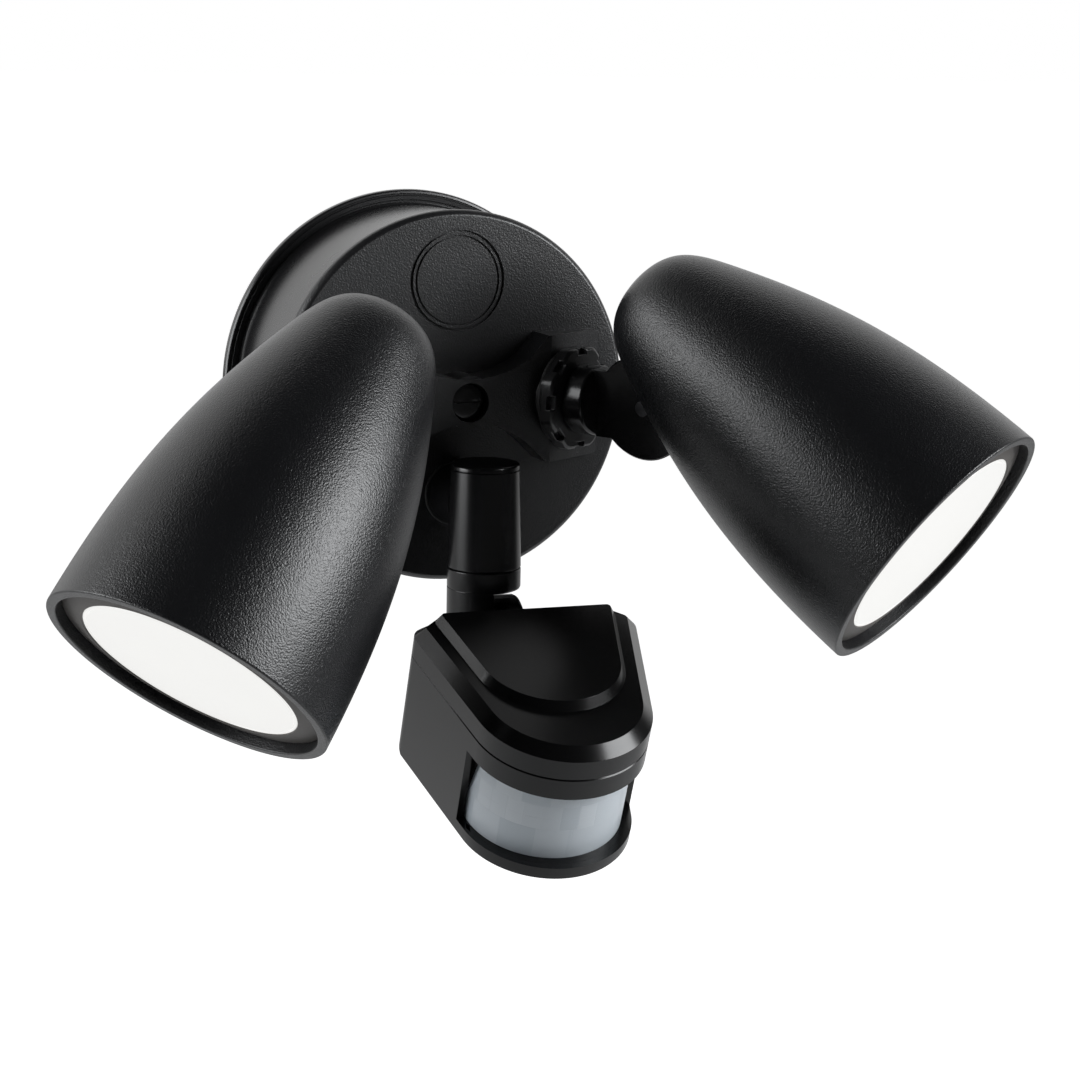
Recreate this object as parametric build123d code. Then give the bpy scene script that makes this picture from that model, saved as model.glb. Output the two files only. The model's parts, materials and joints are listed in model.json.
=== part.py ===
from build123d import *
from math import asin, atan2, cos, hypot, radians, sin, sqrt, tan
import os

# Twin spot security light with a motion sensor, in millimetres.
# The wall is the plane y = 0, the light stands out towards -Y, +Z is up and +X is
# the right-hand lamp as someone facing the wall sees it. The pieces lie as in the
# photograph: both lamps turned and tilted, the sensor head turned and nodded.

# fits and clearances
gap = 0.3                   # between pieces that move past each other
fit_gap = 0.08              # radial, where one piece turns in another
lap = 0.5                   # shapes joined into one solid run this far into each other
past = 1.0                  # a cut runs this far past the face it opens

# wall box
gasket_depth = 2.0
flange_radius = 63.5
flange_round = 1.0
gasket_set_in = 1.0         # the foam pad is this much smaller all round
back_wall = 3.0
drum_radius = 58.6
drum_wall = 2.6
drum_front = 43.6           # distance of the drum's rim from the wall
cable_entry_radius = 10.0
cable_entry_drop = 30.0
wall_screw_spacing = 84.0
wall_screw_hole_radius = 2.75
screw_post_radius = 6.0
screw_post_front = 40.2

# cover
cover_radius = 60.0
cover_face = 48.1           # distance of the cover's face from the wall
cover_wall = 3.5
cover_edge_bevel = 1.8
seal_depth = 1.0
rim_wall = 2.0
rim_depth = 4.0
recess_wall = 2.2
badge_height = 37.6         # centre of the plain round boss above the axis
badge_radius = 16.2
badge_groove = 2.4
badge_groove_depth = 0.8

# raised bridge of the cover, with a slanted seat for each lamp arm
bridge_rise = 11.9
bridge_wall = 3.0
bridge_upper = 7.3          # upper edge above the axis, at the middle
bridge_lower = 6.7          # lower edge below the axis, at the middle
seat_half_height = 20.6
seat_end = 51.8             # half-width of the bridge
arm_splay = 28.0            # degrees that each arm leans outwards from the wall's normal
seat_start = 28.0           # half-width of the bridge's flat middle
seat_round = 3.0
bridge_waist = 20.5         # half-width of the curved edges
bridge_waist_upper = 13.3   # height of their ends above the axis
bridge_waist_lower = 14.3   # and below it
bridge_shoulder = 27.0      # where the full height starts
arm_boss_radius = 13.2      # round boss behind each slanted seat

# central cover screw
cap_recess_radius = 6.3
cap_radius = 6.0
cap_depth = 4.4
cap_round = 1.4
cap_fold = (8.8, 0.7, 0.7)  # width, depth and height of the fold across the cap
screw_head_radius = 4.2
screw_head_depth = 3.0
cross_slot = (5.2, 1.5, 1.0)
cover_screw_radius = 2.4
cover_screw_length = 34.0
cap_recess_depth = 10.0

# lamp arms
arm_foot_x = 35.43          # where the arm's axis meets its seat, from the middle
nipple_radius = 10.2
cable_bore_radius = 6.0
collar_radius = 11.4
collar_length = 8.0
collar_clearance = 0.68     # from the collar to the pivot disc's edge
collar_bevel = 1.2
washer_depth = 1.2
washer_radius = 15.8
locknut_depth = 5.0
locknut_radius = 17.5       # over the corners of the eight sides
locknut_turned = 0.4        # the corners are turned down by this
notch_floor = 14.2
notch_width = 4.4
notch_depth = 2.2
retainer_radius = 13.6
retainer_depth = 3.6
nipple_end = 1.6            # nipple beyond its inner ring
disc_radius = 17.0          # pivot discs
arm_disc_inner = 3.1        # inboard face of the arm's disc from the pivot
arm_disc_outer = 2.0        # its outboard face
lead_bore_radius = 1.9
lead_bore_end = 4.0
web_half_height = 11.0
disc_bevel = 0.5

# lamp, measured from its lip
lip_reach = 101.1           # from the pivot to the lip, along the lamp
axis_rise = 29.55           # lamp axis above the pivot
axis_shift = 3.55           # lamp axis outboard of the arm axis
lip_radius = 43.3
lip_round = 0.6
lip_wall = 3.0
lamp_length = 125.0         # from the lip's outline to the rounded end
shoulder_station = 106.6
shoulder_radius = 23.7
shoulder_slope = 20.9       # degrees
front_slope = 0.4           # degrees
front_pull = 47.0           # how far each tangent shapes the bullet's curve
middle_pull = 34.0
rear_pull = 15.2
end_width = 14.5
lamp_wall = 3.2
bezel_set_back = 1.3
bezel_depth = 2.8
bezel_slope = 1.6           # how much deeper its outer edge lies
diffuser_set_back = 1.6     # of the diffuser's raised middle
diffuser_sight_radius = 33.2
diffuser_radius = 38.0
diffuser_depth = 2.5
lamp_seal_depth = 1.6
lamp_seal_width = 2.6
lens_fit = 0.1
heat_sink_front = 37.0
heat_sink_depth = 5.0
heat_sink_set_in = 2.4      # heat sink smaller than the diffuser
led_board_radius = 29.0
led_board_depth = 1.6
led_size = 3.0
led_height = 0.8
led_pitch = 9.0
reflector_wall = 1.2
reflector_set_in = 0.4
reflector_rim_lap = 0.8
cavity_end = 79.5
rear_pocket_radius = 9.5
rear_pocket_end = 111.0
driver_width = 34.0
driver_height = 25.0
driver_length = 26.0
driver_round = 3.0
lamp_lug_width = 6.6
lamp_lug_bevel = 0.8
lamp_lead_radius = 2.6
lamp_lead_set_in = 13.0     # the lead's hole below the top of the lug
lamp_lead_back = 8.0
pivot_bolt_radius = 2.5
bolt_head_radius = 4.4
bolt_head_depth = 3.2
bolt_head_sunk = 1.2
bolt_socket_radius = 2.3
bolt_socket_depth = 2.0
right_swivel = 8.4          # degrees that each lamp is turned about its arm
left_swivel = 26.9
right_tilt = 34.8           # degrees that each lamp is tilted down from its arm
left_tilt = 56.5

# sensor elbow
elbow_drop = 31.0           # stub axis below the middle
stub_radius = 10.0
elbow_bore_radius = 4.5
elbow_nipple_radius = 8.0
elbow_nut_radius = 12.6
elbow_nut_depth = 4.5
barrel_depth = 72.5         # barrel axis from the wall
barrel_top = 19.0           # below the middle
barrel_bottom = 50.2
barrel_top_radius = 10.9
barrel_radius = 11.7
barrel_cap_depth = 2.0
barrel_cap_plug = 3.0
barrel_cap_bevel = 0.6
elbow_nipple_end = 2.0      # nipple beyond its nut
seal_margin = 0.6           # elbow seal beyond the stub
chamber_radius = 8.5
chamber_floor = 41.0
spigot_radius = 7.0
clip_radius = 8.1
clip_depth = 1.0
clip_groove = 1.2
clip_mouth = 4.0
spigot_bore_radius = 3.5
spigot_bore_floor = 3.0     # above the bottom of the knuckle's disc

# sensor knuckle
pivot_drop = 71.5           # sensor tilt pivot below the middle
knuckle_disc_bottom = 57.3
lug_radius = 11.4
lug_bevel = 1.5
sensor_screw_radius = 2.0
sensor_screw_head_radius = 4.0
sensor_screw_head_depth = 2.6
sensor_screw_sunk = 0.6
sensor_screw_slot = (1.2, 6.0, 1.0)
sensor_nut_radius = 4.2
sensor_nut_depth = 3.0
sensor_nut_fit = 0.05
sensor_turn = -6.5          # degrees about the vertical
sensor_nod = 22.3           # degrees nodded down

# sensor head, measured from its tilt pivot
head_shift = 5.8            # middle of the head right of the pivot's split
head_back = 17.3
head_side_back = 22.8       # where the rear corners start
head_half_width = 36.0
head_front = 87.2
head_nose_radius = 27.6
seam_height = 8.7
head_bottom = -29.2
head_wall = 2.2
head_corner = 5.3
cover_side = 6.75           # upright side of the top cover
cover_bevel = 3.5
hood_rise = 2.9
hood_half_width = 26.0
hood_front = 65.2
hood_nose_radius = 21.0
hood_bevel = 2.6
heel_depth = 7.4            # bevel across the rear bottom corner
heel_height = 5.8
window_top = 1.6
window_bottom = -24.8
window_start = 60.8         # where the side panels end
lens_radius = 25.2
lens_middle = 57.0
lens_wall = 1.0
lens_grip = 1.2             # part of the lens held above and below its window
lens_fit_side = 0.1
lens_lap = 3.5              # the lens runs this far behind the side panels
ledge_depth = 2.0
ledge_width = 3.0
ledge_end = 4.0
cover_ceiling = 0.4         # ceiling of the top cover below the top of its side
lug_neck_height = 17.0
case_screw_radius = 1.3
case_boss_radius = 3.2
case_boss_side = 25.0
case_boss_back = 26.5
case_screw_recess = 2.6
case_screw_head_radius = 2.4
case_screw_head_depth = 1.8
case_screw_floor = 4.0      # seat of its head above the underside
hood_corner = 3.0
board_peg_radius = 2.6
board_peg_side = 12.0
board_peg_level = -4.0

# sensor electronics
board_back = 30.0
board_depth = 1.6
board_half_width = 18.0
board_top = 6.0
board_bottom = -19.0
pyro_radius = 4.6
pyro_height = 4.4
pyro_level = -11.6
pyro_flange = 0.6
pyro_flange_depth = 0.8
pyro_window = (4.0, 0.4, 3.2)
dial_board_level = -20.6
dial_board_depth = 1.2
dial_board_back = 34.0
dial_board_front = 54.0
dial_line = 44.0
dial_pitch = 13.0
dial_radius = 4.5
dial_cap_depth = 3.4
dial_proud = 1.2
dial_stem_radius = 1.5
dial_slot = 1.2
dial_slot_length = 6.8
dial_slot_depth = 1.4
dial_stem_short = 0.6       # stem stops this far short of its board
dial_foot_side = 14.0
dial_foot_width = 3.0
dial_foot_set_in = 2.0
pot_size = 9.0
pot_depth = 3.4

# wall box electronics
terminal_width = 14.0
terminal_length = 30.0
terminal_depth = 12.0
terminal_x = -27.0
terminal_top = 0.0
terminal_pitch = 9.0
terminal_screw_radius = 2.2
terminal_screw_depth = 2.4
terminal_screw_low = 0.6    # screws stay this far below the block's face
terminal_slot = (6.0, 0.6, 0.8)
earth_x = 30.0
earth_drop = 22.0
earth_radius = 3.2
earth_depth = 8.0
earth_rim = 1.6
earth_rim_depth = 2.0
earth_slot = (12.0, 1.0, 1.0)
control_half_width = 29.0
control_bottom = 14.0
control_top = 43.0
control_depth = 1.6
standoff_radius = 2.6
standoff_length = 7.0
standoff_side = 24.0
standoff_low = 18.0
standoff_high = 39.0
board_screw_radius = 1.2
board_screw_head_radius = 2.4
board_screw_head_depth = 1.6
board_screw_length = 6.0
relay_size = (19.0, 15.5, 15.0)
relay_x = -8.5
capacitor_radius = 6.0
capacitor_height = 13.0
capacitor_x = 10.0
capacitor_rise = 4.0
fuse_size = (12.0, 6.0, 5.0)
fuse_x = 12.0
fuse_drop = 7.5
wire_radius = 1.1
wire_pitch = 4.0

# derived places
wall_front = gasket_depth + back_wall
cover_back = drum_front + seal_depth
bridge_face = cover_face + bridge_rise
splay_sin, splay_cos = sin(radians(arm_splay)), cos(radians(arm_splay))
# each arm is built outwards from its seat, up to the lamp's pivot
seat_level = bridge_face - (arm_foot_x - seat_start) * tan(radians(arm_splay))
seat_distance = washer_depth + locknut_depth + collar_length + collar_clearance + disc_radius
knuckle_x = arm_foot_x + seat_distance * splay_sin
knuckle_depth = seat_level + seat_distance * splay_cos
# the boss reaches back until the inner nut clears the bridge's inside
arm_boss_depth = (seat_level + retainer_radius * splay_sin - bridge_face + bridge_wall + gap) / splay_cos
collar_back = seat_distance - washer_depth - locknut_depth
retainer_back = seat_distance + arm_boss_depth + gap
screw_floor = bridge_face - cap_recess_depth      # seat of the cover screw's head
drum_bore = drum_radius - drum_wall
lug_start = arm_disc_outer + gap
lug_end = lug_start + lamp_lug_width
seal_front = bezel_set_back + bezel_depth + diffuser_depth
seal_station = seal_front + lamp_seal_depth
heat_sink_radius = diffuser_radius - heat_sink_set_in
heat_sink_back = heat_sink_front + heat_sink_depth
board_front = wall_front + standoff_length + control_depth
sensor_screw_seat = -barrel_radius + sensor_screw_head_depth + sensor_screw_sunk


def bar(radius, back, front, x=0.0, z=0.0):
    # a round bar along Y, from one distance in front of the plane y = 0 to another
    length = abs(front - back)
    return Pos(x, -(front + back) / 2, z) * Rot(90, 0, 0) * Cylinder(radius, length)


def ring(outer, inner, back, front, x=0.0, z=0.0):
    return bar(outer, back, front, x, z) - bar(inner, back - past, front + past, x, z)


def slot_at(size, front, x=0.0, z=0.0):
    # a slot of width, depth and height cut into a face that looks towards -Y
    width, depth, height = size
    return block(x - width / 2, x + width / 2, -front - past, -front + depth, z - height / 2, z + height / 2)


def cross_bar(radius, start, end, y=0.0, z=0.0):
    # a round bar along X
    return Pos((start + end) / 2, y, z) * Rot(0, 90, 0) * Cylinder(radius, end - start)


def post(radius, bottom, top, x=0.0, y=0.0):
    # a round bar along Z
    return Pos(x, y, (top + bottom) / 2) * Cylinder(radius, top - bottom)


def ring_z(outer, inner, bottom, top):
    return post(outer, bottom, top) - post(inner, bottom - past, top + past)


def block(x0, x1, y0, y1, z0, z1):
    return Pos((x0 + x1) / 2, (y0 + y1) / 2, (z0 + z1) / 2) * Box(x1 - x0, y1 - y0, z1 - z0)


def prism(sides, radius, back, front):
    # a regular nut shape along Y, with two sides upright
    outline = Rot(0, 0, 180 / sides) * RegularPolygon(radius, sides)
    return Pos(0, -back, 0) * Rot(90, 0, 0) * extrude(outline, front - back)


def spun(edges):
    # a solid turned about the Y axis from an outline in the XY plane
    return revolve(make_face(edges), Axis.Y)


def save(name, shape):
    if isinstance(shape, (list, ShapeList)):
        shape = Compound(children=list(shape))
    shape.label = name
    export_step(shape, "parts/" + name + ".step")


# ---- places of the moving bodies -------------------------------------------------

def arm_place(side):
    return Pos(side * knuckle_x, -knuckle_depth, 0) * Rot(0, 0, side * arm_splay)


def swivel_place(side):
    swivel = right_swivel if side > 0 else left_swivel
    return arm_place(side) * Rot(0, -side * swivel, 0)


def lamp_place(side):
    tilt = right_tilt if side > 0 else left_tilt
    return swivel_place(side) * Rot(tilt, 0, 0)


def handed(shape, side):
    return shape if side > 0 else mirror(shape, about=Plane.YZ)


turn_place = Pos(0, -barrel_depth, 0) * Rot(0, 0, sensor_turn)
head_place = turn_place * Pos(0, 0, -pivot_drop) * Rot(sensor_nod, 0, 0)


# ---- wall box --------------------------------------------------------------------

def wall_holes(radius, back, front):
    half = wall_screw_spacing / 2
    return [bar(radius, back, front, x, 0) for x in (-half, half)]


def make_wall_gasket():
    pad = bar(flange_radius - gasket_set_in, 0, gasket_depth)
    pad -= bar(cable_entry_radius, -past, gasket_depth + past, 0, -cable_entry_drop)
    for hole in wall_holes(wall_screw_hole_radius, -past, gasket_depth + past):
        pad -= hole
    return pad


def standoff_places():
    return [(x, z) for x in (-standoff_side, standoff_side) for z in (standoff_low, standoff_high)]


def make_mount_box():
    box = bar(flange_radius, gasket_depth, wall_front)
    box = fillet(box.edges().filter_by(GeomType.CIRCLE).sort_by(Axis.Y)[0], flange_round)
    box += ring(drum_radius, drum_bore, wall_front - lap, drum_front)
    box += bar(screw_post_radius, wall_front - lap, screw_post_front)
    for x, z in standoff_places():
        box += bar(standoff_radius, wall_front - lap, wall_front + standoff_length, x, z)
        box -= bar(board_screw_radius, wall_front, wall_front + standoff_length + past, x, z)
    box -= bar(cable_entry_radius, 0, wall_front + past, 0, -cable_entry_drop)
    for hole in wall_holes(wall_screw_hole_radius, 0, wall_front + past):
        box -= hole
    return box - bar(cover_screw_radius, screw_floor - cover_screw_length - past, screw_post_front + past)


def terminal_levels():
    middle = terminal_top - terminal_length / 2
    return [middle + i * terminal_pitch for i in (-1, 0, 1)]


def make_terminal_block():
    half = terminal_width / 2
    front = wall_front + terminal_depth
    body = block(terminal_x - half, terminal_x + half, -front, -wall_front,
                 terminal_top - terminal_length, terminal_top)
    for z in terminal_levels():
        body -= bar(terminal_screw_radius, front - terminal_screw_depth, front + past, terminal_x, z)
    return body


def make_terminal_screws():
    front = wall_front + terminal_depth
    face = front - terminal_screw_low
    screws = []
    for z in terminal_levels():
        screw = bar(terminal_screw_radius, front - terminal_screw_depth, face, terminal_x, z)
        screws.append(screw - slot_at(terminal_slot, face, terminal_x, z))
    return screws


def make_earth_terminal():
    front = wall_front + earth_depth
    body = bar(earth_radius, wall_front, front, earth_x, -earth_drop)
    body += bar(earth_radius + earth_rim, front - earth_rim_depth, front, earth_x, -earth_drop)
    return body - slot_at(earth_slot, front, earth_x, -earth_drop)


def make_control_board():
    back = wall_front + standoff_length
    board = block(-control_half_width, control_half_width, -board_front, -back, control_bottom, control_top)
    for x, z in standoff_places():
        board -= bar(board_screw_radius, back - past, board_front + past, x, z)
    return board


def make_board_screws():
    screws = []
    for x, z in standoff_places():
        screw = bar(board_screw_radius, board_front - board_screw_length, board_front, x, z)
        screws.append(screw + bar(board_screw_head_radius, board_front,
                                  board_front + board_screw_head_depth, x, z))
    return screws


def on_board(size, x, z):
    # a box that stands on the control board
    width, depth, height = size
    return block(x - width / 2, x + width / 2, -board_front - depth, -board_front,
                 z - height / 2, z + height / 2)


def make_board_components():
    middle = (control_bottom + control_top) / 2
    relay = on_board(relay_size, relay_x, middle)
    capacitor = bar(capacitor_radius, board_front, board_front + capacitor_height,
                    capacitor_x, middle + capacitor_rise)
    fuse = on_board(fuse_size, fuse_x, middle - fuse_drop)
    return [relay, capacitor, fuse]


def make_supply_wires():
    level = board_front - control_depth / 2
    wires = []
    for i in (-1, 0, 1):
        x = terminal_x + (i + 0.5) * wire_pitch
        wires.append(post(wire_radius, terminal_top, control_bottom, x, -level))
    return wires


# ---- cover -----------------------------------------------------------------------

def bridge_outline(inset):
    # bow-tie outline in the XY plane, drawn with Y as the height
    up_mid, low_mid = bridge_upper - inset, bridge_lower - inset
    half, end = seat_half_height - inset, seat_end - inset
    waist, shoulder = bridge_waist + inset / 2, bridge_shoulder + inset / 2
    up_side, low_side = bridge_waist_upper - inset, bridge_waist_lower - inset
    upper = ThreePointArc((-waist, up_side), (0, up_mid), (waist, up_side))
    lower = ThreePointArc((waist, -low_side), (0, -low_mid), (-waist, -low_side))
    right = Polyline((waist, up_side), (shoulder, half), (end, half), (end, -half),
                     (shoulder, -half), (waist, -low_side))
    left = Polyline((-waist, -low_side), (-shoulder, -half), (-end, -half), (-end, half),
                    (-shoulder, half), (-waist, up_side))
    face = make_face([upper, right, lower, left])
    ends = face.vertices().sort_by(Axis.X)
    return fillet(ends[:2] + ends[-2:], max(seat_round - inset, lap))


def bridge_solid(inset, back, front):
    shape = Pos(0, -back, 0) * Rot(90, 0, 0) * extrude(bridge_outline(inset), front - back)
    drop = bridge_face - front
    reach = 2 * seat_end
    for side in (-1, 1):
        # everything beyond the slanted seat, lowered by the same wall
        cutter = block(-reach, reach, -reach, 0, -reach, reach)
        seat = arm_place(side) * Pos(0, seat_distance + drop, 0)
        shape -= seat * cutter
    return shape


def make_cover_plate():
    plate = bar(cover_radius, cover_back, cover_face)
    front_edge = plate.edges().filter_by(GeomType.CIRCLE).sort_by(Axis.Y)[0]
    plate = chamfer(front_edge, cover_edge_bevel)
    rim = drum_bore - gap
    plate += ring(rim, rim - rim_wall, cover_back - rim_depth, cover_back + lap)
    plate += bridge_solid(0, cover_face - lap, bridge_face)
    plate -= bridge_solid(bridge_wall, cover_back - past, bridge_face - bridge_wall)
    plate += bar(cap_recess_radius + recess_wall, screw_post_front, bridge_face - lap)
    plate -= bar(cap_recess_radius, screw_floor, bridge_face + past)
    plate -= bar(cover_screw_radius + gap, screw_post_front - past, screw_floor + past)
    plate -= ring(badge_radius, badge_radius - badge_groove, cover_face - badge_groove_depth,
                  cover_face + past, 0, badge_height)
    boss_back = -seat_distance - arm_boss_depth
    for side in (-1, 1):
        plate += arm_place(side) * bar(arm_boss_radius, boss_back, -seat_distance - lap)
        plate -= arm_place(side) * bar(nipple_radius + fit_gap, boss_back - past, -seat_distance + past)
    plate -= bar(elbow_nipple_radius, cover_back - past, cover_face + past, 0, -elbow_drop)
    return plate


def make_cover_gasket():
    return ring(drum_radius, drum_bore, drum_front, cover_back)


def make_cover_screw():
    screw = bar(screw_head_radius, screw_floor, screw_floor + screw_head_depth)
    screw += bar(cover_screw_radius, screw_floor - cover_screw_length, screw_floor)
    front = screw_floor + screw_head_depth
    for turn in (0, 90):
        screw -= Rot(0, turn, 0) * slot_at(cross_slot, front)
    return screw


def make_screw_cap():
    back = screw_floor + screw_head_depth
    front = back + cap_depth
    cap = bar(cap_radius, back, front)
    front_edge = cap.edges().filter_by(GeomType.CIRCLE).sort_by(Axis.Y)[0]
    cap = fillet(front_edge, cap_round)
    return cap - slot_at(cap_fold, front)


# ---- lamp arms, drawn for the right-hand side with the pivot at the origin ---------

def make_washer():
    return ring(washer_radius, nipple_radius + fit_gap, -seat_distance, -seat_distance + washer_depth)


def make_locknut():
    back = -seat_distance + washer_depth
    front = back + locknut_depth
    nut = prism(8, locknut_radius, back, front)
    nut = nut & bar(locknut_radius - locknut_turned, back - past, front + past)
    half = notch_width / 2
    for i in range(8):
        notch = block(-half, half, -front - past, -front + notch_depth, notch_floor, locknut_radius + past)
        nut -= Rot(0, i * 45, 0) * notch
    return nut - bar(nipple_radius + fit_gap, back - past, front + past)


def make_arm():
    arm = bar(collar_radius, -collar_back + gap, -collar_back + collar_length)
    front_edge = arm.edges().filter_by(GeomType.CIRCLE).sort_by(Axis.Y)[0]
    arm = chamfer(front_edge, collar_bevel)
    nipple_back = retainer_back + retainer_depth + nipple_end
    arm += bar(nipple_radius, -nipple_back, -collar_back + collar_length / 2)
    web_back = collar_back - collar_length + past
    arm += block(-arm_disc_inner, arm_disc_outer, 0, web_back, -web_half_height, web_half_height)
    disc = cross_bar(disc_radius, -arm_disc_inner, arm_disc_outer)
    arm += chamfer(disc.edges().filter_by(GeomType.CIRCLE), disc_bevel)
    arm -= bar(cable_bore_radius, -nipple_back - past, -collar_back + collar_length / 2)
    arm -= bar(lead_bore_radius, -collar_back, -lead_bore_end)
    return arm - cross_bar(pivot_bolt_radius + fit_gap, -disc_radius, disc_radius)


def make_arm_retainer():
    nut = prism(6, retainer_radius, -retainer_back - retainer_depth, -retainer_back)
    return nut - bar(nipple_radius, -retainer_back - retainer_depth - past, -retainer_back + past)


# ---- lamp, drawn with its lip's outline in the plane y = 0 and its end towards +Y ---

def lamp_outline(inset):
    # the bullet's outer curve, drawn in the XY plane with X as the radius
    slope0, slope1 = radians(front_slope), radians(shoulder_slope)
    r0 = lip_radius - inset
    s1, r1 = shoulder_station - inset * sin(slope1), shoulder_radius - inset
    end = lamp_length - inset
    body = Bezier((r0, 0), (r0 - front_pull * sin(slope0), front_pull * cos(slope0)),
                  (r1 + middle_pull * sin(slope1), s1 - middle_pull * cos(slope1)), (r1, s1))
    tail = Bezier((r1, s1), (r1 - rear_pull * sin(slope1), s1 + rear_pull * cos(slope1)),
                  (end_width - inset, end), (0, end))
    return body, tail


def lamp_shell(inset, start):
    body, tail = lamp_outline(inset)
    r0 = lip_radius - inset
    close = Polyline((0, lamp_length - inset), (0, start), (r0, start), (r0, 0))
    return spun([body, tail, close])


def station(radius, front, back):
    return bar(radius, -back, -front)


def station_ring(outer, inner, front, back):
    return station(outer, front, back) - station(inner, front - past, back + past)


def in_knuckle(shape):
    # from the lamp's own place to the arm's pivot
    return Pos(axis_shift, -lip_reach, axis_rise) * shape


def make_lamp_housing():
    shell = lamp_shell(0, -lip_round)
    rim = shell.edges().filter_by(GeomType.CIRCLE).sort_by(Axis.Y)[0]
    shell = fillet(rim, lip_round * 0.8)
    shell -= lamp_shell(lamp_wall, heat_sink_back) & station(lip_radius, heat_sink_back, cavity_end)
    shell -= station(lip_radius - lip_wall, -lip_round - past, bezel_set_back + bezel_depth)
    shell -= station(diffuser_radius + lens_fit, bezel_set_back, seal_station)
    shell -= station(heat_sink_radius, seal_station - past, heat_sink_back)
    shell -= station(rear_pocket_radius, cavity_end - past, rear_pocket_end)
    body = in_knuckle(shell)
    lug = cross_bar(disc_radius, lug_start, lug_end)
    body += chamfer(lug.faces().sort_by(Axis.X)[-1].edges(), lamp_lug_bevel)
    reach = lug_end + 2 * disc_radius
    body -= cross_bar(disc_radius + gap, -arm_disc_inner - gap, lug_start)
    body -= cross_bar(pivot_bolt_radius, lug_start - past, reach)
    body -= cross_bar(bolt_head_radius + lens_fit, lug_end - bolt_head_sunk, reach)
    lead_x = (lug_start - arm_disc_inner) / 2
    lead_z = axis_rise - lamp_lead_set_in
    return body - bar(lamp_lead_radius, lamp_lead_back, lip_reach - cavity_end + past, lead_x, lead_z)


def make_bezel():
    outer, back = lip_radius - lip_wall, bezel_set_back + bezel_depth
    section = make_face(Polyline((diffuser_sight_radius, bezel_set_back), (outer, bezel_set_back + bezel_slope),
                                 (outer, back), (diffuser_sight_radius, back),
                                 (diffuser_sight_radius, bezel_set_back)))
    return in_knuckle(revolve(section, Axis.Y))


def make_diffuser():
    front = bezel_set_back + bezel_depth
    middle = station(diffuser_sight_radius - lens_fit, diffuser_set_back, front + past)
    return in_knuckle(station(diffuser_radius, front, front + diffuser_depth) + middle)


def make_lamp_seal():
    return in_knuckle(station_ring(diffuser_radius, diffuser_radius - lamp_seal_width,
                                   seal_front, seal_station))


def make_reflector():
    front, back = seal_station - reflector_rim_lap, heat_sink_front
    rim, throat = heat_sink_radius - reflector_set_in, led_board_radius + reflector_wall
    cone = make_face(Polyline((rim, front), (throat, back), (throat - reflector_wall, back),
                              (rim - reflector_wall, front), (rim, front)))
    return in_knuckle(revolve(cone, Axis.Y))


def make_led_board():
    return in_knuckle(station(led_board_radius, heat_sink_front - led_board_depth, heat_sink_front))


def make_led_chips():
    front = heat_sink_front - led_board_depth
    half = led_size / 2
    chips = []
    for i in range(-2, 3):
        for j in range(-2, 3):
            if abs(i) + abs(j) < 4:
                x, z = i * led_pitch, j * led_pitch
                chip = block(x - half, x + half, front - led_height, front, z - half, z + half)
                chips.append(in_knuckle(chip))
    return chips


def make_heat_sink():
    return in_knuckle(station(heat_sink_radius - lens_fit, heat_sink_front, heat_sink_back))


def make_driver():
    half_w, half_h = driver_width / 2, driver_height / 2
    body = block(-half_w, half_w, heat_sink_back, heat_sink_back + driver_length, -half_h, half_h)
    return in_knuckle(fillet(body.edges().filter_by(Axis.Y), driver_round))


def make_pivot_bolt():
    seat = lug_end - bolt_head_sunk
    bolt = cross_bar(pivot_bolt_radius, -arm_disc_inner, seat)
    head = cross_bar(bolt_head_radius, seat, seat + bolt_head_depth)
    socket = Pos(seat + bolt_head_depth, 0, 0) * Rot(0, 90, 0) * extrude(
        RegularPolygon(bolt_socket_radius, 6), -bolt_socket_depth)
    return bolt + head - socket


# ---- sensor elbow and knuckle ------------------------------------------------------

def make_elbow_seal():
    return ring(stub_radius + seal_margin, elbow_nipple_radius, cover_face, cover_face + seal_depth,
                0, -elbow_drop)


def make_elbow_nut():
    back = cover_back - elbow_nut_depth
    nut = Pos(0, 0, -elbow_drop) * prism(6, elbow_nut_radius, back, cover_back)
    return nut - bar(elbow_nipple_radius, back - past, cover_back + past, 0, -elbow_drop)


def make_elbow():
    outline = Polyline((0, -barrel_top), (barrel_top_radius, -barrel_top),
                       (barrel_radius, -barrel_bottom), (0, -barrel_bottom), (0, -barrel_top))
    face = Plane.XZ * make_face(outline)
    barrel = Pos(0, -barrel_depth, 0) * revolve(face, Axis.Z)
    start = cover_face + seal_depth
    nipple_back = cover_back - elbow_nut_depth - elbow_nipple_end
    elbow = barrel + bar(stub_radius, start, barrel_depth, 0, -elbow_drop)
    elbow += bar(elbow_nipple_radius, nipple_back, start + lap, 0, -elbow_drop)
    elbow -= bar(elbow_bore_radius, nipple_back - past, barrel_depth, 0, -elbow_drop)
    elbow -= post(chamber_radius, -chamber_floor, -barrel_top + past, 0, -barrel_depth)
    elbow -= post(spigot_radius + fit_gap, -barrel_bottom - past, -chamber_floor + past, 0, -barrel_depth)
    return elbow


def make_elbow_cap():
    cap = post(barrel_top_radius, -barrel_top, -barrel_top + barrel_cap_depth, 0, -barrel_depth)
    cap = chamfer(cap.edges().filter_by(GeomType.CIRCLE).sort_by(Axis.Z)[-1], barrel_cap_bevel)
    return cap + post(chamber_radius, -barrel_top - barrel_cap_plug, -barrel_top + lap, 0, -barrel_depth)


# ---- sensor knuckle, drawn with the swivel's axis as the Z axis ---------------------

clip_bottom = -chamber_floor + gap
clip_top = clip_bottom + clip_depth


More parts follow.
